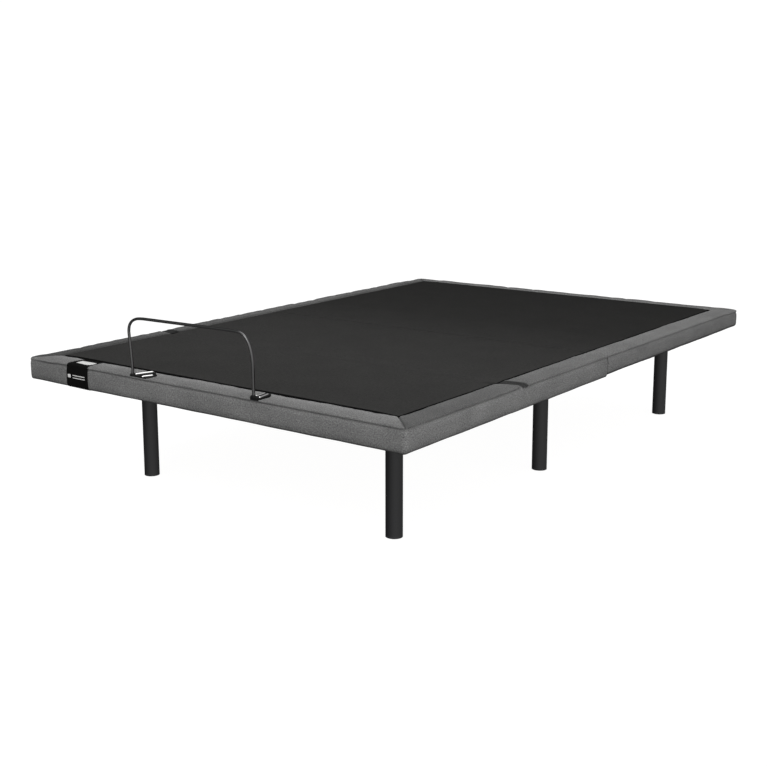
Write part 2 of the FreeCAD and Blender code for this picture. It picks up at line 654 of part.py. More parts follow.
LIFT_Y = (cell("foot_lift_y"), cell("head_lift_y"))
LIFT_Z = cell("lift_height")


def bush_bracket(side, y):
    """A plate welded inside the rail that holds a lift tube's bush."""
    reach = cell("bush_plate_reach")
    plate = mirrored_block(side, PLATE_X, (total(y, minus(reach)), total(y, reach)),
                           (RAIL_BOTTOM, cell("rail_top")))
    return cut(plate, mirrored_rod(side, past(PLATE_X), y, LIFT_Z, cell("bush_radius")))


def lift_bush(side, y):
    """A nylon ring between the lift tube's stub and its bracket."""
    ring = mirrored_rod(side, PLATE_X, y, LIFT_Z, cell("bush_radius"))
    bore = mirrored_rod(side, past(PLATE_X), y, LIFT_Z, total(cell("stub_radius"), cell("fit")))
    return cut(ring, bore)


keep("lift_bushes", group(*[lift_bush(side, y) for side in (-1, 1) for y in LIFT_Y]))


def tail_bracket(x, y):
    """Two ears below a cross tube and the fixed pin that an actuator's tail turns on."""
    near, far, reach = cell("ear_gap"), cell("ear_end"), cell("ear_reach")
    y_range = (total(y, minus(reach)), total(y, reach))
    z_range = (total(cell("drive_z"), minus(cell("ear_drop"))), RAIL_BOTTOM)
    right = block((total(x, near), total(x, far)), y_range, z_range)
    left = block((total(x, minus(far)), total(x, minus(near))), y_range, z_range)
    pin = rod("x", (total(x, minus(cell("pin_half"))), y, cell("drive_z")), "2 * " + cell("pin_half"),
              cell("drive_pin"))
    return fuse(left, right, pin)


keep("frame_brackets", group(
    *[link_base_bracket(side) for side in (-1, 1)],
    *[bush_bracket(side, y) for side in (-1, 1) for y in LIFT_Y],
    tail_bracket(cell("head_drive_x"), cell("head_drive_y")),
    tail_bracket(cell("foot_drive_x"), cell("foot_drive_y")),
))

# ---------------------------------------------------------------- lift arms and levers

# Each lift turns 1:1 with its panel.  Its lever swings evenly either side of straight down.
# The slot in the lever lets the actuator's pin follow a nearly straight line.
HEAD_LIFT = {
    "y": "head_lift_y", "way": 1, "lever_angle": 30.0, "pin_drop": 79.0, "pin_half_travel": 44.5,
    "slot_radius": 85.0, "slot_half": 11.6, "slot_width": 12.9, "drive": "head_drive",
}
FOOT_LIFT = {
    "y": "foot_lift_y", "way": -1, "lever_angle": 16.0, "pin_drop": 100.0, "pin_half_travel": 28.7,
    "slot_radius": 102.0, "slot_half": 7.6, "slot_width": 11.6, "drive": "foot_drive",
}
LEVER_TIP = 8


def lever_plate(x_low, spec):
    """One slotted lever plate, made hanging straight down from its own origin."""
    reach = str(spec["slot_radius"] + spec["slot_half"] + LEVER_TIP)
    half_plate = half(cell("lever_width"))
    x_range = (x_low, total(x_low, cell("lever")))
    through = past(x_range)
    length = total(through[1], minus(through[0]))
    arm = block(x_range, (minus(half_plate), half_plate), (minus(reach), "0"))
    hub = rod("x", (x_low, "0", "0"), cell("lever"), cell("lever_hub"))
    seat = rod("x", (through[0], "0", "0"), length, cell("lift_radius"))
    half_slot = spec["slot_width"] / 2
    straight = spec["slot_half"] - half_slot
    inner_z = str(straight - spec["slot_radius"])
    outer_z = str(-straight - spec["slot_radius"])
    slot = fuse(
        rod("x", (through[0], "0", inner_z), length, str(half_slot)),
        rod("x", (through[0], "0", outer_z), length, str(half_slot)),
        block(through, (str(-half_slot), str(half_slot)), (outer_z, inner_z)),
    )
    return cut(fuse(arm, hub), slot, seat)


def lift_arm(side, y, far, way):
    """A flat arm with a hub that fits round the torsion tube, and its roller's axle."""
    x_range = (total(cell("arm_offset"), minus(half(cell("arm")))),
               total(cell("arm_offset"), half(cell("arm"))))
    roller_z = total(LIFT_Z, cell("arm_rise"))
    reach = half(cell("arm_height"))
    axle_end = total(x_range[1], cell("roller"), cell("axle_extra"))
    bar = mirrored_block(side, x_range, (y, far) if way > 0 else (far, y),
                         (total(LIFT_Z, minus(reach)), total(LIFT_Z, reach)))
    hub = mirrored_rod(side, x_range, y, LIFT_Z, cell("arm_hub"))
    eye = mirrored_rod(side, x_range, far, roller_z, reach)
    axle = mirrored_rod(side, (x_range[1], axle_end), far, roller_z, cell("axle_radius"))
    washer = mirrored_rod(side, (total(axle_end, minus(cell("washer_height"))), axle_end), far, roller_z,
                          cell("washer"))
    seat = mirrored_rod(side, past(x_range), y, LIFT_Z, cell("lift_radius"))
    return cut(fuse(bar, hub, eye, axle, washer), seat)


def lift(name, spec):
    """Torsion tube with stub ends, two arms with roller axles, and a two-plate lever."""
    y = cell(spec["y"])
    way = spec["way"]
    tube = rod("x", (minus(cell("lift_half")), y, LIFT_Z), total(cell("lift_half"), cell("lift_half")),
               cell("lift_radius"))
    stubs = rod("x", (minus(cell("stub_end")), y, LIFT_Z), total(cell("stub_end"), cell("stub_end")),
                cell("stub_radius"))
    far = total(y, "%d * %s" % (way, cell("arm_reach")))
    parts = [fuse(tube, stubs)]
    parts += [lift_arm(side, y, far, way) for side in (-1, 1)]
    x = cell(spec["drive"] + "_x")
    gap = half(cell("lever_gap"))
    for low in (total(x, minus(gap), minus(cell("lever"))), total(x, gap)):
        parts.append(tilt(lever_plate(low, spec), y, LIFT_Z, -way * spec["lever_angle"]))
    return keep(name, group(*parts))


lift("head_lift_arms", HEAD_LIFT)
lift("foot_lift_arms", FOOT_LIFT)


def lift_rollers(name, spec):
    """The two nylon rollers at the ends of a lift's arms."""
    far = total(cell(spec["y"]), "%d * %s" % (spec["way"], cell("arm_reach")))
    roller_z = total(LIFT_Z, cell("arm_rise"))
    start = total(cell("arm_offset"), half(cell("arm")), cell("roller_clearance"))
    x_range = (start, total(start, cell("roller")))
    rollers = []
    for side in (-1, 1):
        tyre = mirrored_rod(side, x_range, far, roller_z, cell("roller_radius"))
        bore = mirrored_rod(side, past(x_range), far, roller_z, total(cell("axle_radius"), cell("fit")))
        rollers.append(cut(tyre, bore))
    return keep(name, group(*rollers))


lift_rollers("head_lift_rollers", HEAD_LIFT)
lift_rollers("foot_lift_rollers", FOOT_LIFT)

# ---------------------------------------------------------------- linear actuators


def actuator(name, spec):
    """Gearbox, motor, outer tube, lead screw and rod of one actuator.

    Every piece is made along +Y from the tail pin at its own origin, then put on the
    tail pin and pointed at the lever's pin.
    """
    tail_y = SIZES[spec["drive"] + "_y"]
    way = spec["way"]
    pin_y = SIZES[spec["y"]] - way * spec["pin_half_travel"]
    pin_z = SIZES["lift_height"] - spec["pin_drop"]
    line = FreeCAD.Vector(0, pin_y - tail_y, pin_z - SIZES["drive_z"])
    length = str(round(line.Length, 3))
    slope = FreeCAD.Rotation(FreeCAD.Vector(0, way, 0), line)
    if way < 0:
        slope = slope.multiply(FreeCAD.Rotation(FreeCAD.Vector(0, 0, 1), 180))

    def put(label, shape):
        placed = group(shape)
        placed.Placement = FreeCAD.Placement(FreeCAD.Vector(), slope)
        placed.setExpression("Placement.Base.x", cell(spec["drive"] + "_x"))
        placed.setExpression("Placement.Base.y", cell(spec["drive"] + "_y"))
        placed.setExpression("Placement.Base.z", cell("drive_z"))
        return keep(name + "_" + label, placed)

    def along(start, end, radius, x="0"):
        """A round bar along the actuator between two distances from its tail pin."""
        return rod("y", (x, start, "0"), total(end, minus(start)), radius)

    def across(middle, reach, radius):
        """A round bar across the actuator, at a distance from its tail pin."""
        return rod("x", (minus(reach), middle, "0"), total(reach, reach), radius)

    tail = cell("tail_half")
    neck = cell("neck_half")
    motor_x = minus(cell("motor_offset"))
    motor_start = cell("motor_start")
    motor_nose = total(motor_start, minus(cell("motor_nose")))
    nose_radius = total(cell("motor_radius"), minus(cell("motor_step")))
    eye = across("0", tail, cell("eye_radius"))
    lug = block((minus(tail), tail), ("0", total(cell("case_start"), OVER)), (minus(neck), neck))
    case = new("Part::Fillet", "case")
    case_low = total(motor_x, minus(cell("case_side")))
    case.Base = block((case_low, cell("case_side")), (cell("case_start"), motor_start),
                      (minus(cell("case_half")), cell("case_half")))
    doc.recompute()
    case.Edges = [(index, SIZES["case_round"], SIZES["case_round"]) for index in range(1, 13)]
    seats = [
        across("0", total(tail, OVER), total(cell("drive_pin"), cell("fit"))),
        along(cell("tube_start"), total(motor_start, OVER), cell("tube_radius")),
        along(cell("screw_start"), total(motor_start, OVER), cell("screw_radius")),
        along(motor_nose, total(motor_start, OVER), nose_radius, motor_x),
    ]
    put("gearbox", cut(fuse(eye, lug, case), *seats))

    motor_end = total(motor_start, cell("motor_length"))
    can = along(motor_start, motor_end, cell("motor_radius"), motor_x)
    nose = along(motor_nose, motor_start, nose_radius, motor_x)
    boss = along(motor_end, total(motor_end, cell("motor_boss_length")), cell("motor_boss"), motor_x)
    put("motor", fuse(can, nose, boss))

    tube_end = total(length, minus(cell("tube_short")))
    mouth_start = total(tube_end, minus(cell("mouth")))
    tube = along(cell("tube_start"), tube_end, cell("tube_radius"))
    tube_bore = along(total(cell("tube_start"), minus(OVER)), total(mouth_start, OVER), cell("tube_bore"))
    mouth = along(mouth_start, total(tube_end, OVER), total(cell("rod_radius"), cell("fit")))
    put("tube", cut(tube, tube_bore, mouth))

    put("lead_screw", along(cell("screw_start"), total(tube_end, minus(cell("screw_short"))),
                            cell("screw_radius")))

    nut_start = total(tube_end, minus(cell("rod_inside")))
    nut = along(nut_start, total(nut_start, cell("nut")), total(cell("tube_bore"), minus(cell("fit"))))
    shaft = along(nut_start, total(length, minus(cell("rod_neck"))), cell("rod_radius"))
    rod_eye = across(length, cell("rod_eye_half"), cell("eye_radius"))
    rod_neck = block((minus(cell("rod_eye_half")), cell("rod_eye_half")),
                     (total(length, minus(cell("rod_neck")), minus(OVER)), length), (minus(neck), neck))
    hollow = along(total(nut_start, minus(OVER)), total(nut_start, cell("rod_hollow")), cell("rod_bore"))
    pin = across(length, cell("pin_half"), cell("drive_pin"))
    put("rod", fuse(cut(fuse(nut, shaft, rod_eye, rod_neck), hollow), pin))


actuator("head_actuator", HEAD_LIFT)
actuator("foot_actuator", FOOT_LIFT)

# ---------------------------------------------------------------- electrics


def control_box():
    """The receiver box under the seat, with three socket recesses in its foot side."""
    front = cell("box_front")
    case = block((cell("box_left"), cell("box_right")), (front, cell("box_back")),
                 (total(RAIL_BOTTOM, minus(cell("box_drop"))), RAIL_BOTTOM))
    z_range = (total(RAIL_BOTTOM, minus(cell("socket_low"))), total(RAIL_BOTTOM, minus(cell("socket_high"))))
    y_range = (total(front, minus(OVER)), total(front, cell("socket_depth")))
    sockets = [block((cell(x), total(cell(x), cell("socket"))), y_range, z_range)
               for x in ("socket_1", "socket_2", "socket_3")]
    return cut(case, *sockets)


def power_supply():
    """The mains brick under the seat, with its inlet recess facing the head end."""
    back = cell("supply_back")
    case = block((cell("supply_left"), cell("supply_right")), (cell("supply_front"), back),
                 (total(RAIL_BOTTOM, minus(cell("supply_drop"))), RAIL_BOTTOM))
    inlet = block((cell("inlet_left"), cell("inlet_right")),
                  (total(back, minus(cell("inlet_depth"))), total(back, OVER)),
                  (total(RAIL_BOTTOM, minus(cell("inlet_low"))),
                   total(RAIL_BOTTOM, minus(cell("socket_high")))))
    return cut(case, inlet)


keep("control_box", control_box())
keep("power_supply", power_supply())

# ---------------------------------------------------------------- mattress retainer


def retainer_side(side):
    """X of one upright of the retainer bar."""
    return total(cell("bar_middle"), signed(side, cell("bar_half")))


def retainer_bar():
    """A wire hoop: two uprights, two quarter bends and a straight top."""
    parts = []
    for side, bend in ((-1, cell("bend_left")), (1, cell("bend_right"))):
        x = retainer_side(side)
        shoulder = total(cell("bar_top"), minus(bend))
        parts.append(rod("z", (x, cell("bar_y"), cell("bar_foot")), total(shoulder, minus(cell("bar_foot"))),
                         cell("bar_radius")))
        corner = new("Part::Torus", "bend")
        corner.setExpression("Radius1", bend)
        corner.setExpression("Radius2", cell("bar_radius"))
        corner.Angle3 = 90
        turn = FreeCAD.Rotation(FreeCAD.Vector(1, 0, 0), 90)
        if side < 0:
            turn = FreeCAD.Rotation(FreeCAD.Vector(0, 0, 1), 180).multiply(turn)
        corner.Placement = FreeCAD.Placement(FreeCAD.Vector(), turn)
        corner.setExpression("Placement.Base.x", total(x, signed(side, minus(bend))))
        corner.setExpression("Placement.Base.y", cell("bar_y"))
        corner.setExpression("Placement.Base.z", shoulder)
        parts.append(corner)
    left = total(retainer_side(-1), cell("bend_left"))
    span = total(retainer_side(1), minus(cell("bend_right")), minus(left))
    parts.append(rod("x", (left, cell("bar_y"), cell("bar_top")), span, cell("bar_radius")))
    return fuse(*parts)


keep("retainer_bar", retainer_bar())


PLATE_TOP = total(cell("deck_top"), cell("bracket_plate_height"))


def retainer_bracket(side):
    """A base plate over the border with a socket block for the bar's foot."""
    x = retainer_side(side)
    front = minus(HALF_LENGTH)
    plate = block((total(x, minus(cell("bracket_left"))), total(x, cell("bracket_right"))),
                  (front, cell("bracket_back")), (cell("deck_top"), PLATE_TOP))
    socket = block((total(x, minus(cell("socket_half"))), total(x, cell("socket_half"))),
                   (front, total(front, cell("socket_length"))),
                   (cell("deck_top"), total(cell("deck_top"), cell("socket_height"))))
    bore = rod("z", (x, cell("bar_y"), PLATE_TOP), total(cell("socket_height"), OVER),
               total(cell("bar_radius"), cell("fit")))
    return cut(fuse(plate, socket), bore)


def clamp_rails(side):
    """Two bright half-round rails along the bracket's base plate, right of the socket."""
    y_range = (total(minus(HALF_LENGTH), cell("clamp_start")),
               total(cell("bracket_back"), minus(cell("clamp_end"))))
    radius = cell("clamp_radius")
    middle_z = total(PLATE_TOP, cell("clamp_wall"))
    rails = []
    for offset in ("clamp_near", "clamp_far"):
        centre = total(retainer_side(side), cell(offset))
        x_range = (total(centre, minus(radius)), total(centre, radius))
        crown = rod("y", (centre, y_range[0], middle_z), total(y_range[1], minus(y_range[0])), radius)
        wall = block(x_range, y_range, (PLATE_TOP, middle_z))
        below = block(past(x_range), past(y_range), (total(PLATE_TOP, minus(radius)), PLATE_TOP))
        rails.append(fuse(cut(crown, below), wall))
    return rails


keep("retainer_brackets", group(*[retainer_bracket(side) for side in (-1, 1)]))
keep("retainer_clamp_rails", group(*(clamp_rails(-1) + clamp_rails(1))))

# ---------------------------------------------------------------- check and write

doc.recompute()

for item in doc.Objects:
    if "Invalid" in item.State or "Error" in item.State:
        raise RuntimeError("%s (%s) did not compute: %s" % (item.Name, item.Label, item.State))

for piece in pieces:
    if piece.Shape.isNull() or not piece.Shape.isValid() or not piece.Shape.Solids:
        raise RuntimeError("%s has no valid solid" % piece.Label)

for piece in pieces:
    piece.Shape.exportStep("parts/%s.step" % piece.Label)

print("%d sub-parts written" % len(pieces))
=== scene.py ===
import json
import math

import bmesh
import bpy
import numpy as np
from mathutils import Matrix, Vector
from mathutils.bvhtree import BVHTree


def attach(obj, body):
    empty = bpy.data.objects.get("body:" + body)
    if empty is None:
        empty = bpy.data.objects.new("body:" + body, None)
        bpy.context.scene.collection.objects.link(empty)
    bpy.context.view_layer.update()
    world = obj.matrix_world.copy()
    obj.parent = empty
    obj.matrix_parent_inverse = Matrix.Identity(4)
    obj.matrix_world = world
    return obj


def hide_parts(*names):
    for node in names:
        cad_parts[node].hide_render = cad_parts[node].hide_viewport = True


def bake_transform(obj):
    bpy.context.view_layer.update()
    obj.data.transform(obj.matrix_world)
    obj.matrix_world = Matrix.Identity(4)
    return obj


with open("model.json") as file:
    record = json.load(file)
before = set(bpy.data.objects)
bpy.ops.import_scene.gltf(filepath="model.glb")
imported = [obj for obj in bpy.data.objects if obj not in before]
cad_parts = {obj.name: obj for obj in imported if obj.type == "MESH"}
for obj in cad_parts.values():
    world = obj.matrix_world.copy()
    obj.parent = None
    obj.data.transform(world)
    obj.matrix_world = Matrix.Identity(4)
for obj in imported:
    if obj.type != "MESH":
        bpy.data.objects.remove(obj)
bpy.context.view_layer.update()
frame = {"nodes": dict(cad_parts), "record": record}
SCENE = bpy.context.scene

# ------------------------------------------------------------------ short calls


class Nodes:
    """Short calls for building the node tree of a material or a world."""

    def __init__(self, owner, shader="Principled BSDF"):
        self.owner = owner
        owner.use_nodes = True
        self.tree = owner.node_tree
        self.shader = self.tree.nodes[shader]

    def add(self, kind, settings=()):
        node = self.tree.nodes.new(kind)
        for key, value in dict(settings).items():
            setattr(node, key, value)
        return node

    def link(self, value, socket):
        self.tree.links.new(value, socket)

    def put(self, values, sockets):
        """Links each value that is a socket, and sets each that is a number or a colour."""
        for value, socket in zip(values, sockets):
            if isinstance(value, bpy.types.NodeSocket):
                self.link(value, socket)
            elif isinstance(value, (int, float)):
                socket.default_value = value
            elif value is not None:
                socket.default_value = (*value, 1)

    def fixed(self, **values):
        """Numbers and colours that are the same all over go on the shader's own sockets."""
        for key, value in values.items():
            self.shader.inputs[key.replace("_", " ")].default_value = value

    def coordinates(self, use_uv, scale=(1, 1, 1)):
        where = self.add("ShaderNodeTexCoord")
        mapping = self.add("ShaderNodeMapping")
        mapping.inputs["Scale"].default_value = scale
        self.link(where.outputs["UV" if use_uv else "Object"], mapping.inputs["Vector"])
        return mapping.outputs[0]

    def split(self, vector):
        node = self.add("ShaderNodeSeparateXYZ")
        self.link(vector, node.inputs[0])
        return node.outputs

    def noise(self, vector, scale, detail=3.0, roughness=0.5, distortion=0.0):
        node = self.add("ShaderNodeTexNoise")
        self.put((vector, scale, detail, roughness, distortion),
                 [node.inputs[key] for key in ("Vector", "Scale", "Detail", "Roughness", "Distortion")])
        return node.outputs["Fac"]

    def math(self, operation, a, b=None, c=None):
        node = self.add("ShaderNodeMath", {"operation": operation})
        self.put((a, b, c), node.inputs)
        return node.outputs[0]

    def times(self, a, b):
        return self.math("MULTIPLY", a, b)

    def plus(self, a, b):
        return self.math("ADD", a, b)

    def ramp(self, value, stops):
        node = self.add("ShaderNodeValToRGB")
        elements = node.color_ramp.elements
        while len(elements) < len(stops):
            elements.new(0.5)
        for element, (place, colour) in zip(elements, stops):
            element.position = place
            element.color = (*colour, 1)
        self.link(value, node.inputs[0])
        return node.outputs[0]

    def mix(self, factor, a, b, blend="MIX"):
        node = self.add("ShaderNodeMix", {"data_type": "RGBA", "blend_type": blend})
        self.put((factor, a, b), (node.inputs[0], node.inputs[6], node.inputs[7]))
        return node.outputs[2]

    def bump(self, height, strength, distance, normal=None):
        node = self.add("ShaderNodeBump")
        self.put((strength, distance, height, normal),
                 [node.inputs[key] for key in ("Strength", "Distance", "Height", "Normal")])
        return node.outputs[0]

    def finish(self, colour, roughness, normal):
        self.put((colour, roughness, normal), [self.shader.inputs[key] for key in
                                               ("Base Color", "Roughness", "Normal")])
        return self.owner


def grey(value):
    return (value, value, value)


def linked(name, mesh, material):
    mesh.materials.append(material)
    made = bpy.data.objects.new(name, mesh)
    SCENE.collection.objects.link(made)
    return made


def lathe(bm, place, profile, steps, least_y=-math.inf):
    """Turns a profile of (radius, height) about an upright line through place."""
    rings = [[bm.verts.new((place[0] + radius * math.cos(2 * math.pi * k / steps),
                            max(place[1] + radius * math.sin(2 * math.pi * k / steps), least_y),
                            place[2] + height)) for k in range(steps)] for radius, height in profile]
    for low, high in zip(rings, rings[1:]):
        for k in range(steps):
            n = (k + 1) % steps
            bm.faces.new((low[k], low[n], high[n], high[k]))
    return rings


def from_bmesh(name, bm, material):
    mesh = bpy.data.meshes.new(name)
    bm.to_mesh(mesh)
    bm.free()
    return linked(name, mesh, material)


# ------------------------------------------------------------------ camera, light and floor

IMAGE = 767
SENSOR = 36.0
FOCAL_PX = 1250.6
CENTRE_PX = (336.58, 345.73)
CAMERA_AT = Vector((2.3044, -3.2936, 1.1356))
YAW, PITCH, ROLL = 0.67409, 0.19571, -0.00863


def make_camera():
    """The camera stands off the foot end's right corner and looks slightly down at the bed."""
    level = math.cos(PITCH)
    forward = Vector((-math.sin(YAW) * level, math.cos(YAW) * level, -math.sin(PITCH)))
    right = forward.cross(Vector((0, 0, 1))).normalized()
    up = right.cross(forward)
    rolled_right = right * math.cos(ROLL) + up * math.sin(ROLL)
    rolled_up = up * math.cos(ROLL) - right * math.sin(ROLL)
    data = bpy.data.cameras.new("camera")
    data.sensor_width = SENSOR
    data.lens = FOCAL_PX / IMAGE * SENSOR
    data.shift_x = (IMAGE / 2 - CENTRE_PX[0]) / IMAGE
    data.shift_y = (CENTRE_PX[1] - IMAGE / 2) / IMAGE
    data.clip_end = 60
    camera = bpy.data.objects.new("camera", data)
    turn = Matrix((rolled_right, rolled_up, -forward)).transposed()
    camera.matrix_world = Matrix.Translation(CAMERA_AT) @ turn.to_4x4()
    SCENE.collection.objects.link(camera)
    SCENE.camera = camera


def area_light(name, place, target, size, watts):
    data = bpy.data.lights.new(name, "AREA")
    data.shape = "RECTANGLE"
    data.size, data.size_y = size
    data.energy = watts
    light = bpy.data.objects.new(name, data)
    turn = (Vector(target) - Vector(place)).to_track_quat("-Z", "Y")
    light.matrix_world = Matrix.Translation(place) @ turn.to_matrix().to_4x4()
    SCENE.collection.objects.link(light)


WORLD_LOW, WORLD_HIGH = 0.36, 0.72
BRIGHT_WAY = (0.84, -0.54, 0.0)
BRIGHT_LEAST, BRIGHT_MOST, BRIGHT_FALL = 0.15, 2.05, 1.6


def make_world():
    """A soft sky, dim below the horizon, and brighter on the side that faces BRIGHT_WAY."""
    world = bpy.data.worlds.new("studio")
    SCENE.world = world
    n = Nodes(world, "Background")
    way = n.add("ShaderNodeTexCoord").outputs["Generated"]
    up = n.math("MULTIPLY_ADD", n.split(way)["Z"], 0.5, 0.5)
    sky = n.ramp(up, ((0.42, grey(WORLD_LOW)), (0.75, grey(WORLD_HIGH))))
    facing = n.add("ShaderNodeVectorMath", {"operation": "DOT_PRODUCT"})
    facing.inputs[1].default_value = BRIGHT_WAY
    n.link(way, facing.inputs[0])
    share = n.math("MULTIPLY_ADD", facing.outputs["Value"], 0.5, 0.5)
    share = n.math("POWER", share, BRIGHT_FALL)
    strength = n.math("MULTIPLY_ADD", share, BRIGHT_MOST - BRIGHT_LEAST, BRIGHT_LEAST)
    n.link(sky, n.shader.inputs["Color"])
    n.link(strength, n.shader.inputs["Strength"])


FLOOR_Z, FLOOR_FLAT, COVE_RADIUS, WALL_TOP = -0.0005, 14.0, 4.0, 14.0005
FLOOR_GLOW = 0.97


def make_floor():
    """A plain white floor that runs up into a far wall all round."""
    profile = [(6.0, 0.0), (FLOOR_FLAT, 0.0)]
    for i in range(1, 13):
        a = math.pi / 2 * i / 12
        profile.append((FLOOR_FLAT + COVE_RADIUS * math.sin(a), COVE_RADIUS * (1 - math.cos(a))))
    profile.append((FLOOR_FLAT + COVE_RADIUS, WALL_TOP))
    bm = bmesh.new()
    rings = lathe(bm, (0, 0, FLOOR_Z), profile, 96)
    bm.faces.new(rings[0][::-1])
    white = bpy.data.materials.new("floor_white")
    Nodes(white).fixed(Base_Color=(0.12, 0.12, 0.12, 1), Roughness=1.0, Specular_IOR_Level=0.0,
                       Emission_Color=(1, 1, 1, 1), Emission_Strength=FLOOR_GLOW)
    floor = from_bmesh("floor", bm, white)
    floor.data.polygons.foreach_set("use_smooth", [True] * len(floor.data.polygons))
    floor.visible_diffuse = floor.visible_glossy = floor.visible_shadow = False


make_camera()
make_world()
make_floor()
area_light("key", (1.2, -3.6, 3.4), (0, -0.3, 0.3), (3.2, 2.2), 56)
area_light("top", (0.2, 0.0, 3.6), (0, 0, 0.3), (3.0, 3.0), 46)
SCENE.view_settings.view_transform = "Standard"

# ------------------------------------------------------------------ node materials


def woven(name, dark, mid, light, thread, mottle, contrast, bump_depth, toned=False, sheen=0.0):
    """Plain-woven cloth in metres of UV: threads over and under, each thread its own shade.

    toned cloth is multiplied by the mesh's own "tone" attribute, which holds painted light and shade.
    """
    n = Nodes(bpy.data.materials.new(name))
    uv = n.coordinates(True)
    split = n.split(uv)
    wobble = n.noise(uv, 90.0, 2.0)
    shift = n.times(wobble, thread * 0.8)
    u = n.plus(split["X"], shift)
    v = n.plus(split["Y"], shift)
    across = n.math("DIVIDE", u, thread)
    along = n.math("DIVIDE", v, thread)
    warp_no, weft_no = n.math("FLOOR", across), n.math("FLOOR", along)
    parity = n.math("MODULO", n.math("ABSOLUTE", n.plus(warp_no, weft_no)), 2.0)
    warp_round = n.math("SINE", n.times(n.math("FRACT", across), math.pi))
    weft_round = n.math("SINE", n.times(n.math("FRACT", along), math.pi))
    over = n.times(warp_round, n.plus(n.times(weft_round, 0.5), 0.5))
    under = n.times(weft_round, n.plus(n.times(warp_round, 0.5), 0.5))
    height = n.plus(n.times(over, parity),
                    n.times(under, n.math("SUBTRACT", 1.0, parity)))
    # every thread keeps one shade for a few millimetres, as melange yarn does
    cell = n.add("ShaderNodeCombineXYZ")
    n.link(n.plus(warp_no, n.times(parity, 57.0)), cell.inputs[0])
    n.link(n.math("FLOOR", n.math("DIVIDE", n.plus(u, v), thread * 2.5)), cell.inputs[1])
    n.link(weft_no, cell.inputs[2])
    yarn = n.add("ShaderNodeTexWhiteNoise", {"noise_dimensions": "3D"})
    n.link(cell.outputs[0], yarn.inputs["Vector"])
    slub = n.noise(n.coordinates(True, (160, 420, 1)), 1.0, 2.0, 0.6)
    cloud = n.noise(uv, mottle, 4.0, 0.62)
    broad = n.noise(uv, 9.0, 2.0)
    shade = n.plus(n.times(yarn.outputs["Value"], 0.34 * contrast),
                   n.times(slub, 0.5 * contrast))
    shade = n.plus(shade, n.times(cloud, 1.3 * contrast))
    shade = n.plus(shade, n.times(broad, 0.35 * contrast))
    shade = n.math("SUBTRACT", shade, 1.25 * contrast - 0.5)
    colour = n.ramp(shade, [(0.18, dark), (0.5, mid), (0.84, light)])
    # painted shade: the low parts of the threads, where they dip under each other, are darkened by up
    # to a third
    gap_shade = n.math("MULTIPLY_ADD", height, 0.35, 0.65)
    grey = n.add("ShaderNodeCombineColor")
    for index in range(3):
        n.link(gap_shade, grey.inputs[index])
    colour = n.mix(1.0, colour, grey.outputs[0], "MULTIPLY")
    if toned:
        # the tone attribute paints light and shade into the colour
        tone = n.add("ShaderNodeAttribute", {"attribute_name": "tone"})
        colour = n.mix(1.0, colour, tone.outputs["Color"], "MULTIPLY")
    rough = n.math("MULTIPLY_ADD", cloud, 0.1, 0.88)
    normal = n.bump(height, 0.75, bump_depth)
    normal = n.bump(cloud, 0.35, bump_depth * 3.0, normal)
    n.fixed(Sheen_Weight=sheen, Sheen_Roughness=0.55, Specular_IOR_Level=0.03,
            Sheen_Tint=(0.75, 0.75, 0.77, 1))
    return n.finish(colour, rough, normal)


def coated(name, base, fleck, roughness, grain, specular=0.4, bump=0.0004, metallic=0.0):
    """Powder coat, moulded plastic, rubber or plated metal: fine grain and light wear in gloss."""
    n = Nodes(bpy.data.materials.new(name))
    where = n.coordinates(False)
    fine = n.noise(where, grain, 3.0, 0.6)
    broad = n.noise(where, 14.0, 4.0, 0.6)
    colour = n.mix(n.times(fine, 0.9), base, fleck)
    rough = n.math("MULTIPLY_ADD", broad, 0.16, roughness - 0.08)
    normal = n.bump(fine, 0.4, bump)
    n.fixed(Metallic=metallic, Specular_IOR_Level=specular)
    return n.finish(colour, rough, normal)


def brushed(name, base, roughness, along):
    """Bright metal with fine lines along one axis and faint clouding."""
    n = Nodes(bpy.data.materials.new(name))
    stretch = [1400.0] * 3
    stretch["xyz".index(along)] = 26.0
    lines = n.noise(n.coordinates(False, tuple(stretch)), 1.0, 2.0)
    cloud = n.noise(n.coordinates(False), 40.0, 3.0)
    colour = n.mix(n.times(cloud, 0.5), base, tuple(c * 0.82 for c in base))
    rough = n.math("MULTIPLY_ADD", lines, 0.14, roughness - 0.05)
    n.fixed(Metallic=1.0)
    return n.finish(colour, rough, n.bump(lines, 0.15, 0.0001))


PLY = 0.003


def plywood(name):
    """Birch ply: long grain on the faces and thin dark glue lines on the edges."""
    n = Nodes(bpy.data.materials.new(name))
    grain = n.noise(n.coordinates(False, (46.0, 3.0, 46.0)), 1.0, 5.0, 0.62, 0.8)
    fleck = n.noise(n.coordinates(False, (420.0, 22.0, 420.0)), 1.0, 2.0)
    face = n.ramp(grain, [(0.3, (0.36, 0.22, 0.11)), (0.55, (0.5, 0.34, 0.19)),
                          (0.75, (0.58, 0.42, 0.26))])
    layer = n.math("FRACT", n.math("DIVIDE", n.split(n.coordinates(False))["Z"], PLY))
    dark = n.math("LESS_THAN", layer, 0.16)
    facing = n.split(n.add("ShaderNodeTexCoord").outputs["Normal"])
    edge = n.math("LESS_THAN", n.math("ABSOLUTE", facing["Z"]), 0.5)
    colour = n.mix(n.times(n.times(dark, edge), 0.75), face, (0.16, 0.09, 0.045))
    rough = n.math("MULTIPLY_ADD", fleck, 0.2, 0.55)
    n.fixed(Specular_IOR_Level=0.3)
    return n.finish(colour, rough, n.bump(grain, 0.3, 0.0004))


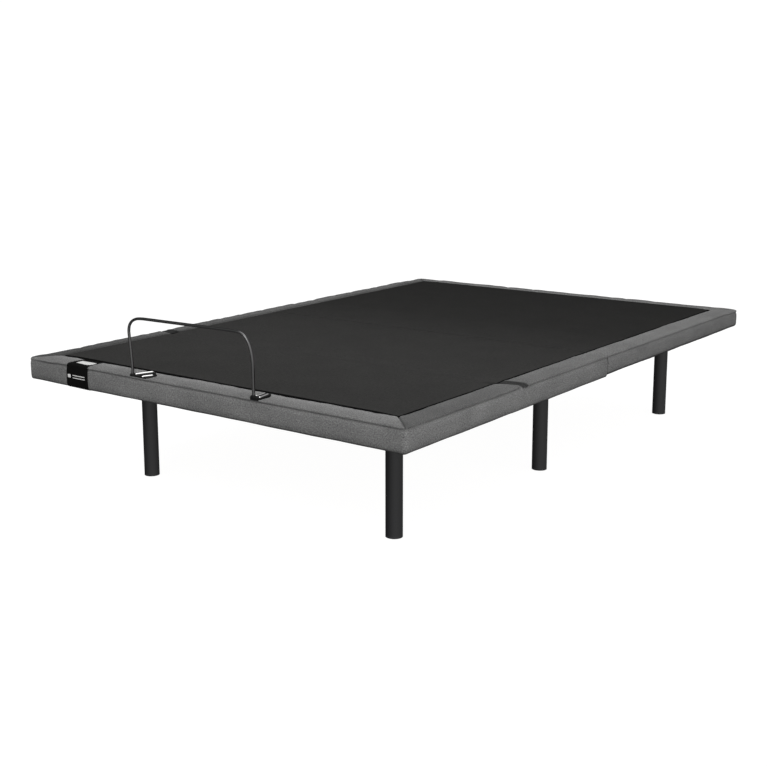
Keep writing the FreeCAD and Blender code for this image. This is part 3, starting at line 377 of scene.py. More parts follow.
GREY_FABRIC = woven("grey_fabric", (0.105, 0.105, 0.107), (0.215, 0.215, 0.213), (0.35, 0.35, 0.345),
                    0.0011, 260.0, 0.85, 0.0005, True, 0.03)
BLACK_FABRIC = woven("black_fabric", grey(0.030), (0.044, 0.0435, 0.0425),
                     (0.060, 0.059, 0.057), 0.0009, 120.0, 0.55, 0.0003, True)
# near-black cloth for the covers' bound edges and the knee lining, so dark that it is also painted
# shade along those shaded lines
BINDING_AND_SHADE_FABRIC = woven("binding_and_painted_shade_fabric", grey(0.002), grey(0.004),
                       grey(0.008), 0.0007, 200.0, 0.5, 0.0002)
LABEL_FABRIC = woven("label_fabric", grey(0.004), grey(0.006), grey(0.012),
                     0.0006, 200.0, 0.6, 0.00015)
WHITE_TAPE = woven("white_tape", grey(0.6), (0.78, 0.78, 0.77), grey(0.86),
                   0.0006, 200.0, 0.5, 0.00015)
FINISHES = {
    "grey_fabric": GREY_FABRIC,
    "black_fabric": BLACK_FABRIC,
    "plywood": plywood("birch_plywood"),
    "black_steel": coated("black_powder_coat", (0.026, 0.026, 0.029), (0.044, 0.044, 0.048), 0.5, 900.0,
                          0.12, 0.0002),
    "zinc_steel": coated("zinc_plate", (0.46, 0.47, 0.49), (0.62, 0.63, 0.65), 0.34, 260.0, 0.5,
                         0.0001, 1.0),
    "white_nylon": coated("natural_nylon", (0.68, 0.67, 0.62), (0.76, 0.75, 0.7), 0.45, 300.0),
    "black_plastic": coated("moulded_black", (0.016, 0.016, 0.018), (0.026, 0.026, 0.028), 0.5, 1500.0),
    "rubber": coated("black_rubber", grey(0.014), grey(0.028), 0.8, 700.0, 0.2),
    "gunmetal_wire": coated("black_nickel", grey(0.10), grey(0.14), 0.16, 500.0, 0.5,
                            0.00005, 1.0),
    "polished_strip": brushed("bright_plate", grey(0.86), 0.12, "y"),
    "aluminium_tube": brushed("satin_aluminium", (0.6, 0.61, 0.63), 0.32, "y"),
}
LEG_ENAMEL = coated("black_enamel", (0.006, 0.006, 0.007), (0.011, 0.011, 0.0125), 0.34, 700.0,
                    0.5, 0.0001)
BRACKET_PAINT = coated("black_paint", grey(0.004), grey(0.009), 0.6, 900.0,
                       0.12, 0.0002)
LEGS = ("foot_legs", "middle_legs", "head_legs")
NODE_SLOT = {part["node"]: part["material_slot"] for part in frame["record"]["subparts"]}
for node_name, node in frame["nodes"].items():
    finish = LEG_ENAMEL if node_name in LEGS else FINISHES[NODE_SLOT[node_name]]
    if not node.material_slots:
        node.data.materials.append(finish)
    for material_slot in node.material_slots:
        material_slot.material = finish

# ------------------------------------------------------------------ mesh helpers


def new_mesh(name, points, faces, material, uvs=None):
    """A linked, smooth-shaded object; uvs holds one (u, v) per face corner."""
    mesh = bpy.data.meshes.new(name)
    mesh.from_pydata([tuple(p) for p in points], [], [tuple(f) for f in faces])
    if uvs is not None:
        layer = mesh.uv_layers.new(name="UVMap")
        layer.data.foreach_set("uv", np.asarray(uvs, np.float32).ravel())
    mesh.polygons.foreach_set("use_smooth", [True] * len(mesh.polygons))
    mesh.update()
    return linked(name, mesh, material)


def ring_quads(rows, size, start=0):
    """The faces that join closed rings of points, each ring to the next."""
    return [(start + i * size + k, start + i * size + (k + 1) % size,
             start + (i + 1) * size + (k + 1) % size, start + (i + 1) * size + k)
            for i in range(rows - 1) for k in range(size)]


def bake(obj):
    """Replaces the object's mesh by its evaluated one and drops its modifiers."""
    graph = bpy.context.evaluated_depsgraph_get()
    final = bpy.data.meshes.new_from_object(obj.evaluated_get(graph), preserve_all_data_layers=True,
                                            depsgraph=graph)
    old = obj.data
    obj.modifiers.clear()
    obj.data = final
    final.name = obj.name
    bpy.data.meshes.remove(old)


def smooth(t):
    t = np.clip(t, 0.0, 1.0)
    return t * t * (3 - 2 * t)


def fade(t):
    return 1 - smooth(t)


def bell(t):
    return np.exp(-t ** 2)


def vertices_of(obj):
    return np.array([v.co for v in obj.data.vertices])


CLOTH_FRAMES = 20
CLOTH_TENSION = 15.0
# pressure in each pad, and the most that its cloth may move, as the real padding is thin and tight
BORDER_FILL, COVER_FILL = (2.2, 0.0014), (0.5, 0.0012)


def settle(obj, pins, pressure, cap, shrink=0.0):
    """Cloth simulation: the free cloth swells between its pinned seams, by no more than the cap."""
    start = vertices_of(obj)
    held = obj.vertex_groups.new(name="held")
    for weight in sorted(set(np.round(pins, 2))):
        chosen = [int(i) for i in np.nonzero(np.round(pins, 2) == weight)[0]]
        held.add(chosen, float(weight), "REPLACE")
    modifier = obj.modifiers.new("cloth", "CLOTH")
    settings = modifier.settings
    settings.quality = 5
    settings.mass = 0.35
    settings.tension_stiffness = settings.compression_stiffness = CLOTH_TENSION
    settings.shear_stiffness = CLOTH_TENSION / 2
    settings.bending_stiffness = 0.5
    settings.vertex_group_mass = "held"
    settings.pin_stiffness = 4.0
    settings.use_pressure = True
    settings.uniform_pressure_force = pressure
    settings.shrink_min = shrink
    settings.effector_weights.gravity = 0.0
    modifier.collision_settings.use_collision = False
    modifier.collision_settings.use_self_collision = False
    modifier.point_cache.frame_start, modifier.point_cache.frame_end = 1, CLOTH_FRAMES
    for number in range(1, CLOTH_FRAMES + 1):
        SCENE.frame_set(number)
    graph = bpy.context.evaluated_depsgraph_get()
    moved = np.array([v.co for v in obj.evaluated_get(graph).data.vertices])
    step = moved - start
    length = np.linalg.norm(step, axis=1)
    factor = np.where(length > cap, cap / np.maximum(length, 1e-9), 1.0)
    final = start + step * factor[:, None]
    final = np.where(np.isfinite(final), final, start)
    obj.modifiers.remove(modifier)
    obj.vertex_groups.remove(held)
    obj.data.vertices.foreach_set("co", final.astype(np.float32).ravel())
    obj.data.update()
    SCENE.frame_set(1)


def subdivide(obj):
    modifier = obj.modifiers.new("subdivision", "SUBSURF")
    modifier.levels = modifier.render_levels = 1
    bake(obj)


def face_outward(mesh):
    bm = bmesh.new()
    bm.from_mesh(mesh)
    bmesh.ops.recalc_face_normals(bm, faces=bm.faces)
    bm.to_mesh(mesh)
    bm.free()


# ------------------------------------------------------------------ padded border

HALF_W, HALF_L = 0.686, 1.016
DECK_TOP = 0.388
STRIP = 0.073
KNEE_Y, THIGH_Y, HEAD_Y = -0.5, 0.010, 0.250
CORNER = 0.013
SEAM_RADIUS = 0.0016
BORDER_STEP = 0.009
# heights: the strip's lip, the board under the cloth, the cloth on the strip
LIP_Z, BOARD_Z, STRIP_Z = 0.3770, 0.3850, 0.3895

# the section of the border: distance in from its outer face, height, how firmly it is held
SECTION = [
    (0.0215, 0.3274, 1), (0.0190, 0.3264, 1), (0.0150, 0.3259, 1), (0.0100, 0.3258, 1),
    (0.0060, 0.3262, 0.6), (0.0030, 0.3278, 0), (0.0012, 0.3305, 0), (0.0005, 0.3345, 0),
    (0.0001, 0.3400, 0), (0.0, 0.3460, 0), (0.0, 0.3520, 0), (0.0, 0.3580, 0), (0.0, 0.3640, 0),
    (0.0002, 0.3695, 0), (0.0007, 0.3738, 0), (0.0016, 0.3766, 0.3), (0.0040, 0.3785, 1),
    (0.0060, 0.3798, 1), (0.0058, 0.3808, 1), (0.0028, 0.3818, 0.6), (0.0008, 0.3834, 0),
    (0.0007, 0.3852, 0), (0.0022, 0.3870, 0), (0.0050, 0.3882, 0), (0.0090, 0.3890, 0),
    (0.0150, 0.3895, 0), (0.0230, 0.3898, 0), (0.0310, 0.3899, 0), (0.0390, 0.3899, 0),
    (0.0470, 0.3898, 0), (0.0550, 0.3896, 0), (0.0630, 0.3892, 0), (0.0690, 0.3885, 0),
    (0.0716, 0.3873, 0.5), (0.0724, 0.3856, 1), (0.0730, 0.3852, 1), (0.0800, 0.3852, 1),
    (0.0800, 0.3850, 1), (0.0600, 0.3850, 1), (0.0400, 0.3850, 1), (0.0200, 0.3850, 1),
    (0.0079, 0.3850, 1), (0.0078, 0.3700, 1), (0.0078, 0.3480, 1), (0.0078, 0.3277, 1),
    (0.0215, 0.3277, 1),
]


DEPTH, HEIGHT, HOLD = np.array(SECTION, float).T


def axes(points):
    """The x, y and z of the points, as views: a change to one is a change to the points."""
    return points[..., 0], points[..., 1], points[..., 2]


def side_stations(start, knots, step):
    """Distances along one side, close together near each knot (place, reach, fine step)."""
    places = [start[0]]
    while places[-1] < start[1]:
        here = places[-1]
        pace = step
        for place, reach, fine in knots:
            gap = abs(here - place)
            if gap < reach:
                pace = min(pace, fine + (step - fine) * (gap / reach) ** 1.5)
        places.append(here + pace)
    places[-1] = start[1]
    if places[-1] - places[-2] < 0.4 * step and len(places) > 2:
        places.pop(-2)
    return places


FAN = 0.10
ARC_STEPS = 10


def border(name, end_sign, open_y, knots, shape):
    """A padded border that runs down one side, across one end of the bed and up the other side.

    end_sign is -1 for the foot end and +1 for the head end, open_y is where the border starts
    on both sides, and shape(points) dents the swept surface.
    """
    radius = np.maximum(CORNER - DEPTH, SEAM_RADIUS)
    run = HALF_L - end_sign * open_y
    # distance from the open end to where each section line turns the corner
    turn = run - DEPTH - radius
    outer_turn = run - CORNER
    along = side_stations((0.0, outer_turn), knots, BORDER_STEP)
    rings = []
    for s in along:
        fan = max(0.0, (s - (outer_turn - FAN)) / FAN)
        places = s + (turn - outer_turn) * fan
        x = HALF_W - DEPTH
        rings.append((x, places, 0, s))
    for k in range(1, ARC_STEPS):
        angle = math.pi / 2 * k / ARC_STEPS
        x = HALF_W - DEPTH - radius + radius * math.cos(angle)
        places = turn + radius * math.sin(angle)
        rings.append((x, places, 1 if k == ARC_STEPS // 2 else (0 if k < ARC_STEPS // 2 else 2), None))
    half_end = HALF_W - CORNER
    end_count = int(round(2 * half_end / BORDER_STEP))
    for k in range(end_count + 1):
        t = 2 * k / end_count - 1
        outer_x = -t * half_end
        reach = abs(outer_x)
        fan = max(0.0, (reach - (half_end - FAN)) / FAN)
        inner = HALF_W - DEPTH - radius
        x = np.sign(outer_x) * (reach + (inner - half_end) * fan)
        rings.append((x, run - DEPTH, 2, None))
    mirrored = [(-x, places, 2 - side, s) for x, places, side, s in rings[:len(along) + ARC_STEPS - 1]]
    rings += mirrored[::-1]

    count = len(SECTION)
    total = len(rings)
    points = np.zeros((total, count, 3))
    for i, (x, places, _, _) in enumerate(rings):
        points[i, :, 0] = x
        points[i, :, 1] = open_y + end_sign * places
        points[i, :, 2] = HEIGHT
    shape(points)
    # the cut ends are rolled in a little
    for ring, way in ((0, 1), (total - 1, -1)):
        end_x = np.sign(points[ring].mean(0)[0]) * (HALF_W - 0.0040)
        for step, (shrink, back) in enumerate(((0.0030, 0.0), (0.0012, 0.0008), (0.0003, 0.0022))):
            index = ring + way * step
            outline = points[index]
            centre = np.stack([np.full(count, end_x), outline[:, 1],
                               np.clip(outline[:, 2], 0.3277, 0.3852)], 1)
            strip_part = DEPTH > 0.008
            centre[strip_part, 0] = outline[strip_part, 0]
            inward = centre - outline
            size = np.linalg.norm(inward, axis=1, keepdims=True)
            points[index] = outline + inward / np.maximum(size, 1e-9) * np.minimum(size * 0.8, shrink)
            points[index, :, 1] = open_y + end_sign * back

    faces, uvs = [], []
    profile = np.concatenate([[0], np.cumsum(np.hypot(np.diff(DEPTH), np.diff(HEIGHT)))])
    profile_end = profile[-1] + math.hypot(DEPTH[0] - DEPTH[-1], HEIGHT[0] - HEIGHT[-1])
    for i in range(total - 1):
        (_, _, side, s), (_, _, next_side, next_s) = rings[i:i + 2]
        round_end = next_side if side == 1 else side
        axis = 0 if round_end == 2 and next_side in (1, 2) and s is None and next_s is None else 1
        for j in range(count):
            nj = (j + 1) % count
            corners = [(i, j), (i, nj), (i + 1, nj), (i + 1, j)][::-end_sign]
            faces.append([a * count + b for a, b in corners])
            for a, b in corners:
                v = profile_end if nj == 0 and b == 0 else profile[b]
                uvs.append((points[a, b, axis], v))
    flat = points.reshape(-1, 3)
    for cap in (range(count), range((total - 1) * count, total * count)[::-1]):
        faces.append(cap[::-end_sign])
        uvs += [(flat[k, 0], flat[k, 2]) for k in faces[-1]]
    made = new_mesh(name, flat, faces, GREY_FABRIC, uvs)
    pins = np.tile(HOLD, (total, 1))
    for i in (0, 1, 2, total - 3, total - 2, total - 1):
        pins[i] = 1
    seam_ring = len(along) + ARC_STEPS // 2 - 1
    pins[seam_ring] = np.maximum(pins[seam_ring], 0.9)
    pins[total - 1 - seam_ring] = np.maximum(pins[total - 1 - seam_ring], 0.9)
    return made, pins


def corner_seams(points, end_sign):
    """Sinks the mitre seams on the top and the upright seams on the corners."""
    x, y, z = axes(points)
    from_side = HALF_W - np.abs(x)
    from_end = HALF_L - end_sign * y
    diagonal = (from_side - from_end) / math.sqrt(2)
    near = bell(diagonal / 0.0026)
    on_top = smooth((z - 0.3840) / 0.002)
    z -= 0.0030 * near * on_top
    puff = bell((np.abs(diagonal) - 0.008) / 0.006)
    z += 0.0006 * puff * on_top
    to_corner = np.hypot(np.maximum(CORNER - from_side, 0), np.maximum(CORNER - from_end, 0))
    outer = to_corner > 0.6 * CORNER
    upright = bell(diagonal / 0.0016) * outer * (z < 0.385)
    x -= np.sign(x) * 0.0009 * upright
    y -= end_sign * 0.0009 * upright


def along_noise(values, waves, seed):
    """A smooth wandering line: a few sine waves with seeded phases."""
    generator = np.random.default_rng(seed)
    total = np.zeros_like(values)
    for wavelength, size in waves:
        total = total + size * np.sin(2 * math.pi * values / wavelength + generator.uniform(0, 6.28))
    return total


def soften(points, end_sign, seed):
    """Hand-upholstered unevenness: the edges wander by about a millimetre."""
    x, y, z = axes(points)
    on_end = (HALF_L - end_sign * y) < (HALF_W - np.abs(x))
    run = np.where(on_end, x, y + 3.0 * np.sign(x))
    wander = along_noise(run, ((0.47, 0.0006), (0.23, 0.0005), (0.11, 0.0003), (0.057, 0.0002)), seed)
    swell = along_noise(run, ((0.31, 0.0004), (0.17, 0.0004), (0.083, 0.0002)), seed + 1)
    top = smooth((z - BOARD_Z) / 0.003)
    crown = smooth((z - 0.3880) / 0.0015)
    z += wander * top * 0.7 + swell * crown
    bottom = smooth((0.3300 - z) / 0.003)
    z += 0.6 * along_noise(run, ((0.39, 0.0006), (0.14, 0.0004)), seed + 2) * bottom


BOARD_CLEAR = 0.0028


def fold_front(inward):
    """How far headward of the knee joint the fold starts: 20 mm outside, 9 mm inside."""
    return 0.020 - 0.011 * np.clip(inward, 0, 1)


def fold_back(inward):
    """How far headward of the knee joint the fold ends: 46 mm outside, 36 mm inside."""
    return 0.046 - 0.010 * np.clip(inward, 0, 1)


def knee_dent(points):
    """The pinched valley where the border folds at the knee, deepest at the lip."""
    x, y, z = axes(points)
    inward = np.clip(DEPTH / STRIP, 0, 1)
    s = y - KNEE_Y
    near = np.abs(s) < 0.12
    lipward = fade((DEPTH - 0.001) / 0.006)
    front, back = fold_front(inward), fold_back(inward)
    slope = 0.012 + 0.014 * np.maximum(lipward, inward)
    foot_side = smooth((s - front + slope) / slope)
    thigh_side = fade((s - back + 0.014 + 0.008 * lipward) / (0.014 + 0.008 * lipward))
    fall = foot_side * thigh_side * near
    over_gap = fade((s - 0.008) / 0.010)
    clear = BOARD_CLEAR * (1 - 0.75 * smooth((DEPTH - 0.058) / 0.012))
    drop = (clear + (0.0030 + 0.0026 * inward) * over_gap) * (1 - lipward) + 0.0088 * lipward
    top = smooth((z - LIP_Z) / 0.006)
    z -= drop * fall * top
    rim = bell((s - front + 0.014) / 0.011)
    z += 0.0012 * rim * top * (1 - 0.5 * lipward) * (1 - inward)
    puff = bell((s - back - 0.002) / 0.011)
    z += 0.0020 * puff * top * smooth((z - 0.3860) / 0.002)
    seam_lift = bell((s + 0.004) / 0.024) * smooth((z - 0.3560) / 0.02) * (1 - top)
    z += 0.0048 * seam_lift
    side = (1 - top) * smooth((z - 0.3262) / 0.004)
    seam_at = np.clip(0.032 + (0.379 - z) * 0.5, 0.030, 0.052)
    groove = bell((s - seam_at) / 0.0030) * (0.0012 + 0.0018 * smooth((z - 0.345) / 0.04))
    ridge = bell((s - seam_at + 0.0055) / 0.0020) * 0.0012
    swell = bell((s - 0.010) / 0.012) * 0.0010
    outer = DEPTH < 0.0075
    x -= np.sign(x) * (groove - ridge - swell) * side * outer


# the least height of each row of the section, which keeps the strip clear of the board
LEAST_HEIGHT = np.array([h if d > 0.0720 else 0.0 if h <= 0.3860 else
                         np.interp(d, (0.0020, 0.0050, 0.0080), (0.3815, 0.3845, 0.3858))
                         for d, h, _ in SECTION])


def keep_over_board(points):
    """Cloth that lies on the board stays above its top, except in the gap at the knee."""
    _, y, z = axes(points)
    z[...] = np.where((z < LEAST_HEIGHT) & (np.abs(y - KNEE_Y) > 0.0185), LEAST_HEIGHT, z)


SEAT_RISE, HEAD_RISE = 0.0040, 0.0030


def far_droop(points):
    """The strips along the left side and the head end fall away by a few millimetres."""
    x, y, z = axes(points)
    left = smooth((-x - 0.55) / 0.06)
    head = smooth((y - 0.90) / 0.06)
    corner = left * smooth((y - 0.80) / 0.18)
    outer = fade((DEPTH - 0.010) / 0.055)
    sides = np.maximum(left * np.interp(y, (-0.6, 0.0), (0.0026, 0.0008)), 0.0026 * head)
    fall = (sides + 0.0035 * corner) * (0.45 + 0.55 * outer)
    z -= fall * smooth((z - 0.3700) / 0.012)


# border cloth held down by the two clamps and the label: x from, x to, and the y it reaches
PRESSED = ((-0.2515, -0.1790, -0.950), (0.1970, 0.2340, -0.957))
LABEL_HELD = (-0.5180, -0.4240, -0.935)
PRESSED_TOP = 0.3874


def press(points):
    """The clamps' plates press the padding down a little."""
    x, y, z = axes(points)
    for x0, x1, y1 in PRESSED:
        away = np.hypot(np.maximum(np.maximum(x0 - x, x - x1), 0), np.maximum(y - y1, 0))
        share = fade(away / 0.016) * (z > 0.3820)
        z[...] = np.where(z > PRESSED_TOP, z + (PRESSED_TOP - z) * share, z)


def held_down(co):
    """1 for cloth under a clamp or the label."""
    held = np.zeros(len(co))
    for x0, x1, y1 in PRESSED + (LABEL_HELD,):
        beside = np.maximum(np.maximum(x0 - co[:, 0], co[:, 0] - x1), 0)
        away = np.hypot(beside, np.maximum(co[:, 1] - y1, 0))
        held = np.maximum(held, fade(away / 0.010))
    return held


def foot_shape(points):
    """The foot and thigh border hangs a little low, and its seam starts faint at the right corner."""
    corner_seams(points, -1)
    soften(points, -1, 11)
    x, y, z = axes(points)
    sag = np.interp(y, (-HALF_L, -0.75, THIGH_Y), (0.0056, 0.0048, 0.0038))
    z -= sag * smooth((0.3360 - z) / 0.008)
    on_side = (HALF_L + y) > (HALF_W - np.abs(x))
    faint = 0.55 + 0.4 * fade((y + 0.955) / 0.03)
    ease_seam(points, faint * on_side)
    bulge = 0.0045 * fade((y + HALF_L) / 0.20) * smooth((-x - 0.60) / 0.05)
    x -= bulge * (DEPTH < 0.02)
    far_droop(points)
    knee_dent(points)
    press(points)
    keep_over_board(points)


def corner_ease(x, y):
    """How far the seam line closes up towards each corner, least at the near right one."""
    away = np.maximum(HALF_W - np.abs(x), HALF_L - np.abs(y))
    most = np.where((x > 0) & (y < 0), 0.45, 0.90)
    return most * fade((away - 0.014) / 0.05)


def ease_seam(points, ease):
    """Fills the seam line under the strip's lip where the cloth lies smoother."""
    x, y, z = axes(points)
    seam = (DEPTH > 0.002) & (DEPTH < 0.0075) & (z > 0.3765) & (z < 0.3825)
    out_x = np.maximum(np.abs(x) - (HALF_W - CORNER), 0)
    out_y = np.maximum(np.abs(y) - (HALF_L - CORNER), 0)
    length = np.maximum(np.hypot(out_x, out_y), 1e-6)
    amount = (DEPTH - 0.0010) * np.maximum(ease, corner_ease(x, y)) * seam
    x += np.sign(x) * out_x / length * amount
    y += np.sign(y) * out_y / length * amount


def head_shape(points):
    """The seat's lower edge sits a little higher, and the border nips in at the head fold."""
    corner_seams(points, 1)
    soften(points, 1, 23)
    far_droop(points)
    x, y, z = axes(points)
    on_side = (HALF_L - y) > (HALF_W - np.abs(x))
    ease_seam(points, 0.55 * on_side)
    s = y - HEAD_Y
    low = smooth((0.3360 - z) / 0.008)
    turned_in = 1 - 0.65 * smooth((DEPTH - 0.003) / 0.003)
    rise = HEAD_RISE + (SEAT_RISE - HEAD_RISE) * fade((s + 0.004) / 0.012)
    z += low * rise * turned_in
    top = smooth((z - LIP_Z) / 0.006)
    z -= 0.0016 * bell(s / 0.0045) * top
    side = (1 - top) * (DEPTH < 0.0075)
    x -= np.sign(x) * 0.0010 * bell(s / 0.0030) * side
    keep_over_board(points)


END_GAP = 0.0022
FOOT_OPEN = THIGH_Y - END_GAP
HEAD_OPEN = THIGH_Y + END_GAP
knee_run = FOOT_OPEN - KNEE_Y
foot_border, foot_pins = border(
    "foot_thigh_border", -1, FOOT_OPEN, [(knee_run - 0.018, 0.07, 0.0012), (0.0, 0.02, 0.0010)],
    foot_shape)
head_border, head_pins = border(
    "seat_head_border", 1, HEAD_OPEN, [(HEAD_Y - HEAD_OPEN, 0.03, 0.0018), (0.0, 0.02, 0.0010)],
    head_shape)


def hold_dents(pins, obj, places):
    """The stitched folds keep their shape while the rest swells."""
    co = vertices_of(obj)
    flat = pins.reshape(-1).copy()
    for place, reach in places:
        flat = np.maximum(flat, bell((co[:, 1] - place) / reach))
    return np.maximum(flat, held_down(co))


def set_tone(obj, tone_of):
    """Writes the "tone" attribute: how light the cloth is painted at each place, painted light and
    shade included.
    """
    co = vertices_of(obj)
    tone = tone_of(co[:, 0], co[:, 1], co[:, 2])
    layer = obj.data.attributes.new("tone", "FLOAT_COLOR", "POINT")
    values = np.ones((len(co), 4), np.float32)
    values[:, :3] = tone[:, None]
    layer.data.foreach_set("color", values.ravel())


def border_tone(x, y, z):
    """How light the grey cloth is painted: painted light and shade on each strip, end and side by how
    the light falls on it, painted shadow in the knee fold, along the bottom edge and in the mitre
    seams, and painted highlights on the fold's rim and along the upright seam.
    """
    from_side, from_end = HALF_W - np.abs(x), HALF_L - np.abs(y)
    top = smooth((z - 0.3815) / 0.002)
    long_side = smooth((from_end - from_side) / 0.003 + 0.5)
    # painted light and shade by face: each strip, end and side is lighter or darker by how the light
    # falls on it, darker towards the left and the head end, and the strips lighter towards their inner
    # edge
    right = np.interp(y, (-1.0, -0.72, -0.25, 0.4, 0.8), (0.65, 0.67, 0.90, 1.04, 1.02))
    left = np.interp(y, (-1.0, -0.5, 0.2, 1.0), (0.38, 0.62, 0.72, 0.74))
    # painted shade on the inner part of the left strip, beside the deck
    left = left * (1 - 0.42 * smooth((from_side / STRIP - 0.60) / 0.30))
    strip = np.where(x > 0, right, left) * (0.92 + 0.16 * smooth(from_side / STRIP))
    end = (0.92 + 0.46 * smooth(from_end / STRIP)) * np.where(y > 0, 0.72, 1.0)
    side = np.interp(y, (-1.0, -0.7, -0.2, 0.4, 1.0), (1.13, 1.17, 1.06, 0.95, 0.84))
    side = np.where(x > 0, side, 1.0)
    foot_side = np.interp(x, (-HALF_W, -0.55, -0.3, 0.2, HALF_W), (0.84, 0.88, 0.98, 1.03, 1.0))
    tone = top * (long_side * strip + (1 - long_side) * end)
    tone = tone + (1 - top) * (long_side * side + (1 - long_side) * foot_side)
    # painted shade along the bottom edge, where the cloth turns under
    hem_at = np.where(y < THIGH_Y, np.interp(y, (-HALF_L, THIGH_Y), (0.3202, 0.3220)), 0.3294)
    hem_shade = fade((z - hem_at - 0.0022) / 0.0052)
    # the sides grow darker towards the bottom
    tone = tone * (1 - 0.14 * smooth((0.345 - z) / 0.018) * (1 - top))
    s, inward = y - KNEE_Y, from_side / STRIP
    # painted shadow inside the knee fold, and a painted highlight on the foot side's rim in front of it
    folded = smooth((z - 0.3765) / 0.004)
    shadow = folded * smooth((s - fold_front(inward) + 0.004) / 0.006)
    shadow = shadow * fade((s - fold_back(inward) + 0.005) / 0.008)
    rim = top * bell((s - fold_front(inward) + 0.009) / 0.005)
    # a painted highlight along the upright seam at the knee fold
    seam_highlight = bell((s - 0.0345 - (0.3735 - z) * 0.5) / 0.0030)
    seam_highlight = (1 - top) * seam_highlight * smooth((z - 0.335) / 0.01)
    light = 1 + (0.16 * rim + 0.14 * seam_highlight) * long_side
    # painted shade along the mitre seams on the top
    mitre = top * bell((from_side - from_end) / 0.0032)
    return tone * light * (1 - 0.75 * hem_shade) * (1 - 0.76 * shadow * long_side) * (1 - 0.45 * mitre)


settle(foot_border, hold_dents(foot_pins, foot_border, [(KNEE_Y + 0.018, 0.04)]),
       *BORDER_FILL, shrink=-0.006)
settle(head_border, hold_dents(head_pins, head_border, [(HEAD_Y, 0.012)]),
       *BORDER_FILL, shrink=-0.006)
for piece in (foot_border, head_border):
    set_tone(piece, border_tone)
    subdivide(piece)
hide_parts("foot_border", "thigh_border")
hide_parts("seat_border", "head_border")
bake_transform(foot_border)
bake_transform(head_border)

# ------------------------------------------------------------------ deck covers

COVER_EDGE = HALF_W - STRIP - 0.0004
COVER_END = HALF_L - STRIP - 0.0004
COVER_FLOOR = 0.3853
EDGE_ROWS = ((0.0, -0.0026), (0.0002, -0.0008), (0.0009, 0.0008), (0.0024, 0.0020), (0.0050, 0.0026),
             (0.0075, 0.0028))
BINDING_AND_SHADE_END, BINDING_AND_SHADE_LEFT, BINDING_AND_SHADE_RIGHT = 0.0062, 0.0062, 0.0018
SIDE_ROLL = 0.35
ROLL_WIDTH, COVER_STEP = 0.012, 0.014


def even(low, high, step):
    count = max(2, int(round((high - low) / step)))
    return list(np.linspace(low, high, count + 1))


def cover(name, low, high, knots, shape):
    """A deck cover: a thin pad with rolled edges, closed underneath."""
    insets, drops = (list(column) for column in zip(*EDGE_ROWS))

    def lines(start, end, inner):
        return [start + i for i in insets] + inner + [end - i for i in reversed(insets)]

    inner_edge = COVER_EDGE - ROLL_WIDTH
    xs = lines(-COVER_EDGE, COVER_EDGE, even(-inner_edge, inner_edge, COVER_STEP))
    ys = lines(low, high, side_stations((low + ROLL_WIDTH, high - ROLL_WIDTH), knots, COVER_STEP))
    nx, ny = len(xs), len(ys)
    grid_x, grid_y = np.meshgrid(xs, ys, indexing="ij")
    side_edge = np.minimum(grid_x + COVER_EDGE, COVER_EDGE - grid_x)
    edge = np.minimum.reduce([side_edge, grid_y - low, high - grid_y])
    rise = np.interp(edge, insets + [0.02], drops + [0.0030])
    side_rise = np.interp(side_edge, (0.0, 0.010, 0.060), (SIDE_ROLL, SIDE_ROLL, 1.0))
    grid_z = DECK_TOP + np.where(rise > 0, rise * side_rise, rise)
    grid_z = grid_z + shape(grid_x, grid_y) * smooth(edge / 0.004)
    points = [(grid_x[i, j], grid_y[i, j], grid_z[i, j]) for i in range(nx) for j in range(ny)]
    faces = [(i * ny + j, (i + 1) * ny + j, (i + 1) * ny + j + 1, i * ny + j + 1)
             for i in range(nx - 1) for j in range(ny - 1)]
    rim = [i * ny for i in range(nx)] + [(nx - 1) * ny + j for j in range(1, ny)]
    rim += [i * ny + ny - 1 for i in range(nx - 2, -1, -1)] + [j for j in range(ny - 2, 0, -1)]
    base = len(points)
    points += [(points[k][0], points[k][1], COVER_FLOOR) for k in rim]
    size = len(rim)
    faces += [(rim[k], base + k, base + (k + 1) % size, rim[(k + 1) % size]) for k in range(size)]
    # the underside is made of strips from side to side, so that it folds with the upper face
    left = [0] + [size - j for j in range(1, ny - 1)] + [2 * nx + ny - 3]
    right = [nx - 1 + j for j in range(ny)]
    faces.append(tuple(base + k for k in [left[1], right[1]] + list(range(nx - 1, -1, -1))))
    faces += [tuple(base + k for k in (left[j + 1], right[j + 1], right[j], left[j]))
              for j in range(1, ny - 2)]
    last = list(range(left[-1], right[-1] - 1, -1)) + [right[-2], left[-2]]
    faces.append(tuple(base + k for k in last))
    uvs = [(points[k][0], points[k][1]) for face in faces for k in face]
    made = new_mesh(name, points, faces, BLACK_FABRIC, uvs)
    face_outward(made.data)
    # the outer edge is bound in near-black cloth, except where the two covers meet; the band, widest at
    # the ends and on the left, is also painted shade for the shaded line beside the strips
    made.data.materials.append(BINDING_AND_SHADE_FABRIC)
    for face in made.data.polygons:
        cx, cy, _ = face.center
        if (COVER_END - abs(cy) < BINDING_AND_SHADE_END or COVER_EDGE + cx < BINDING_AND_SHADE_LEFT
                or COVER_EDGE - cx < BINDING_AND_SHADE_RIGHT):
            face.material_index = 1
    pins = np.ones(len(points))
    pins[:nx * ny] = np.where(edge.reshape(-1) > 0.004, 0.0, 1.0)
    return made, pins


def waves(x, y, seed, size):
    """Slack in the cloth: long shallow ripples, at most about a millimetre high."""
    generator = np.random.default_rng(seed)
    total = np.zeros_like(x)
    for _ in range(14):
        length = generator.uniform(0.16, 0.6)
        angle = generator.uniform(-0.5, 0.5) + (math.pi / 2 if generator.uniform() < 0.5 else 0)
        phase = generator.uniform(0, 6.28)
        along = x * math.cos(angle) + y * math.sin(angle)
        total += np.sin(2 * math.pi * along / length + phase) * length
    return size * total / np.abs(total).max()


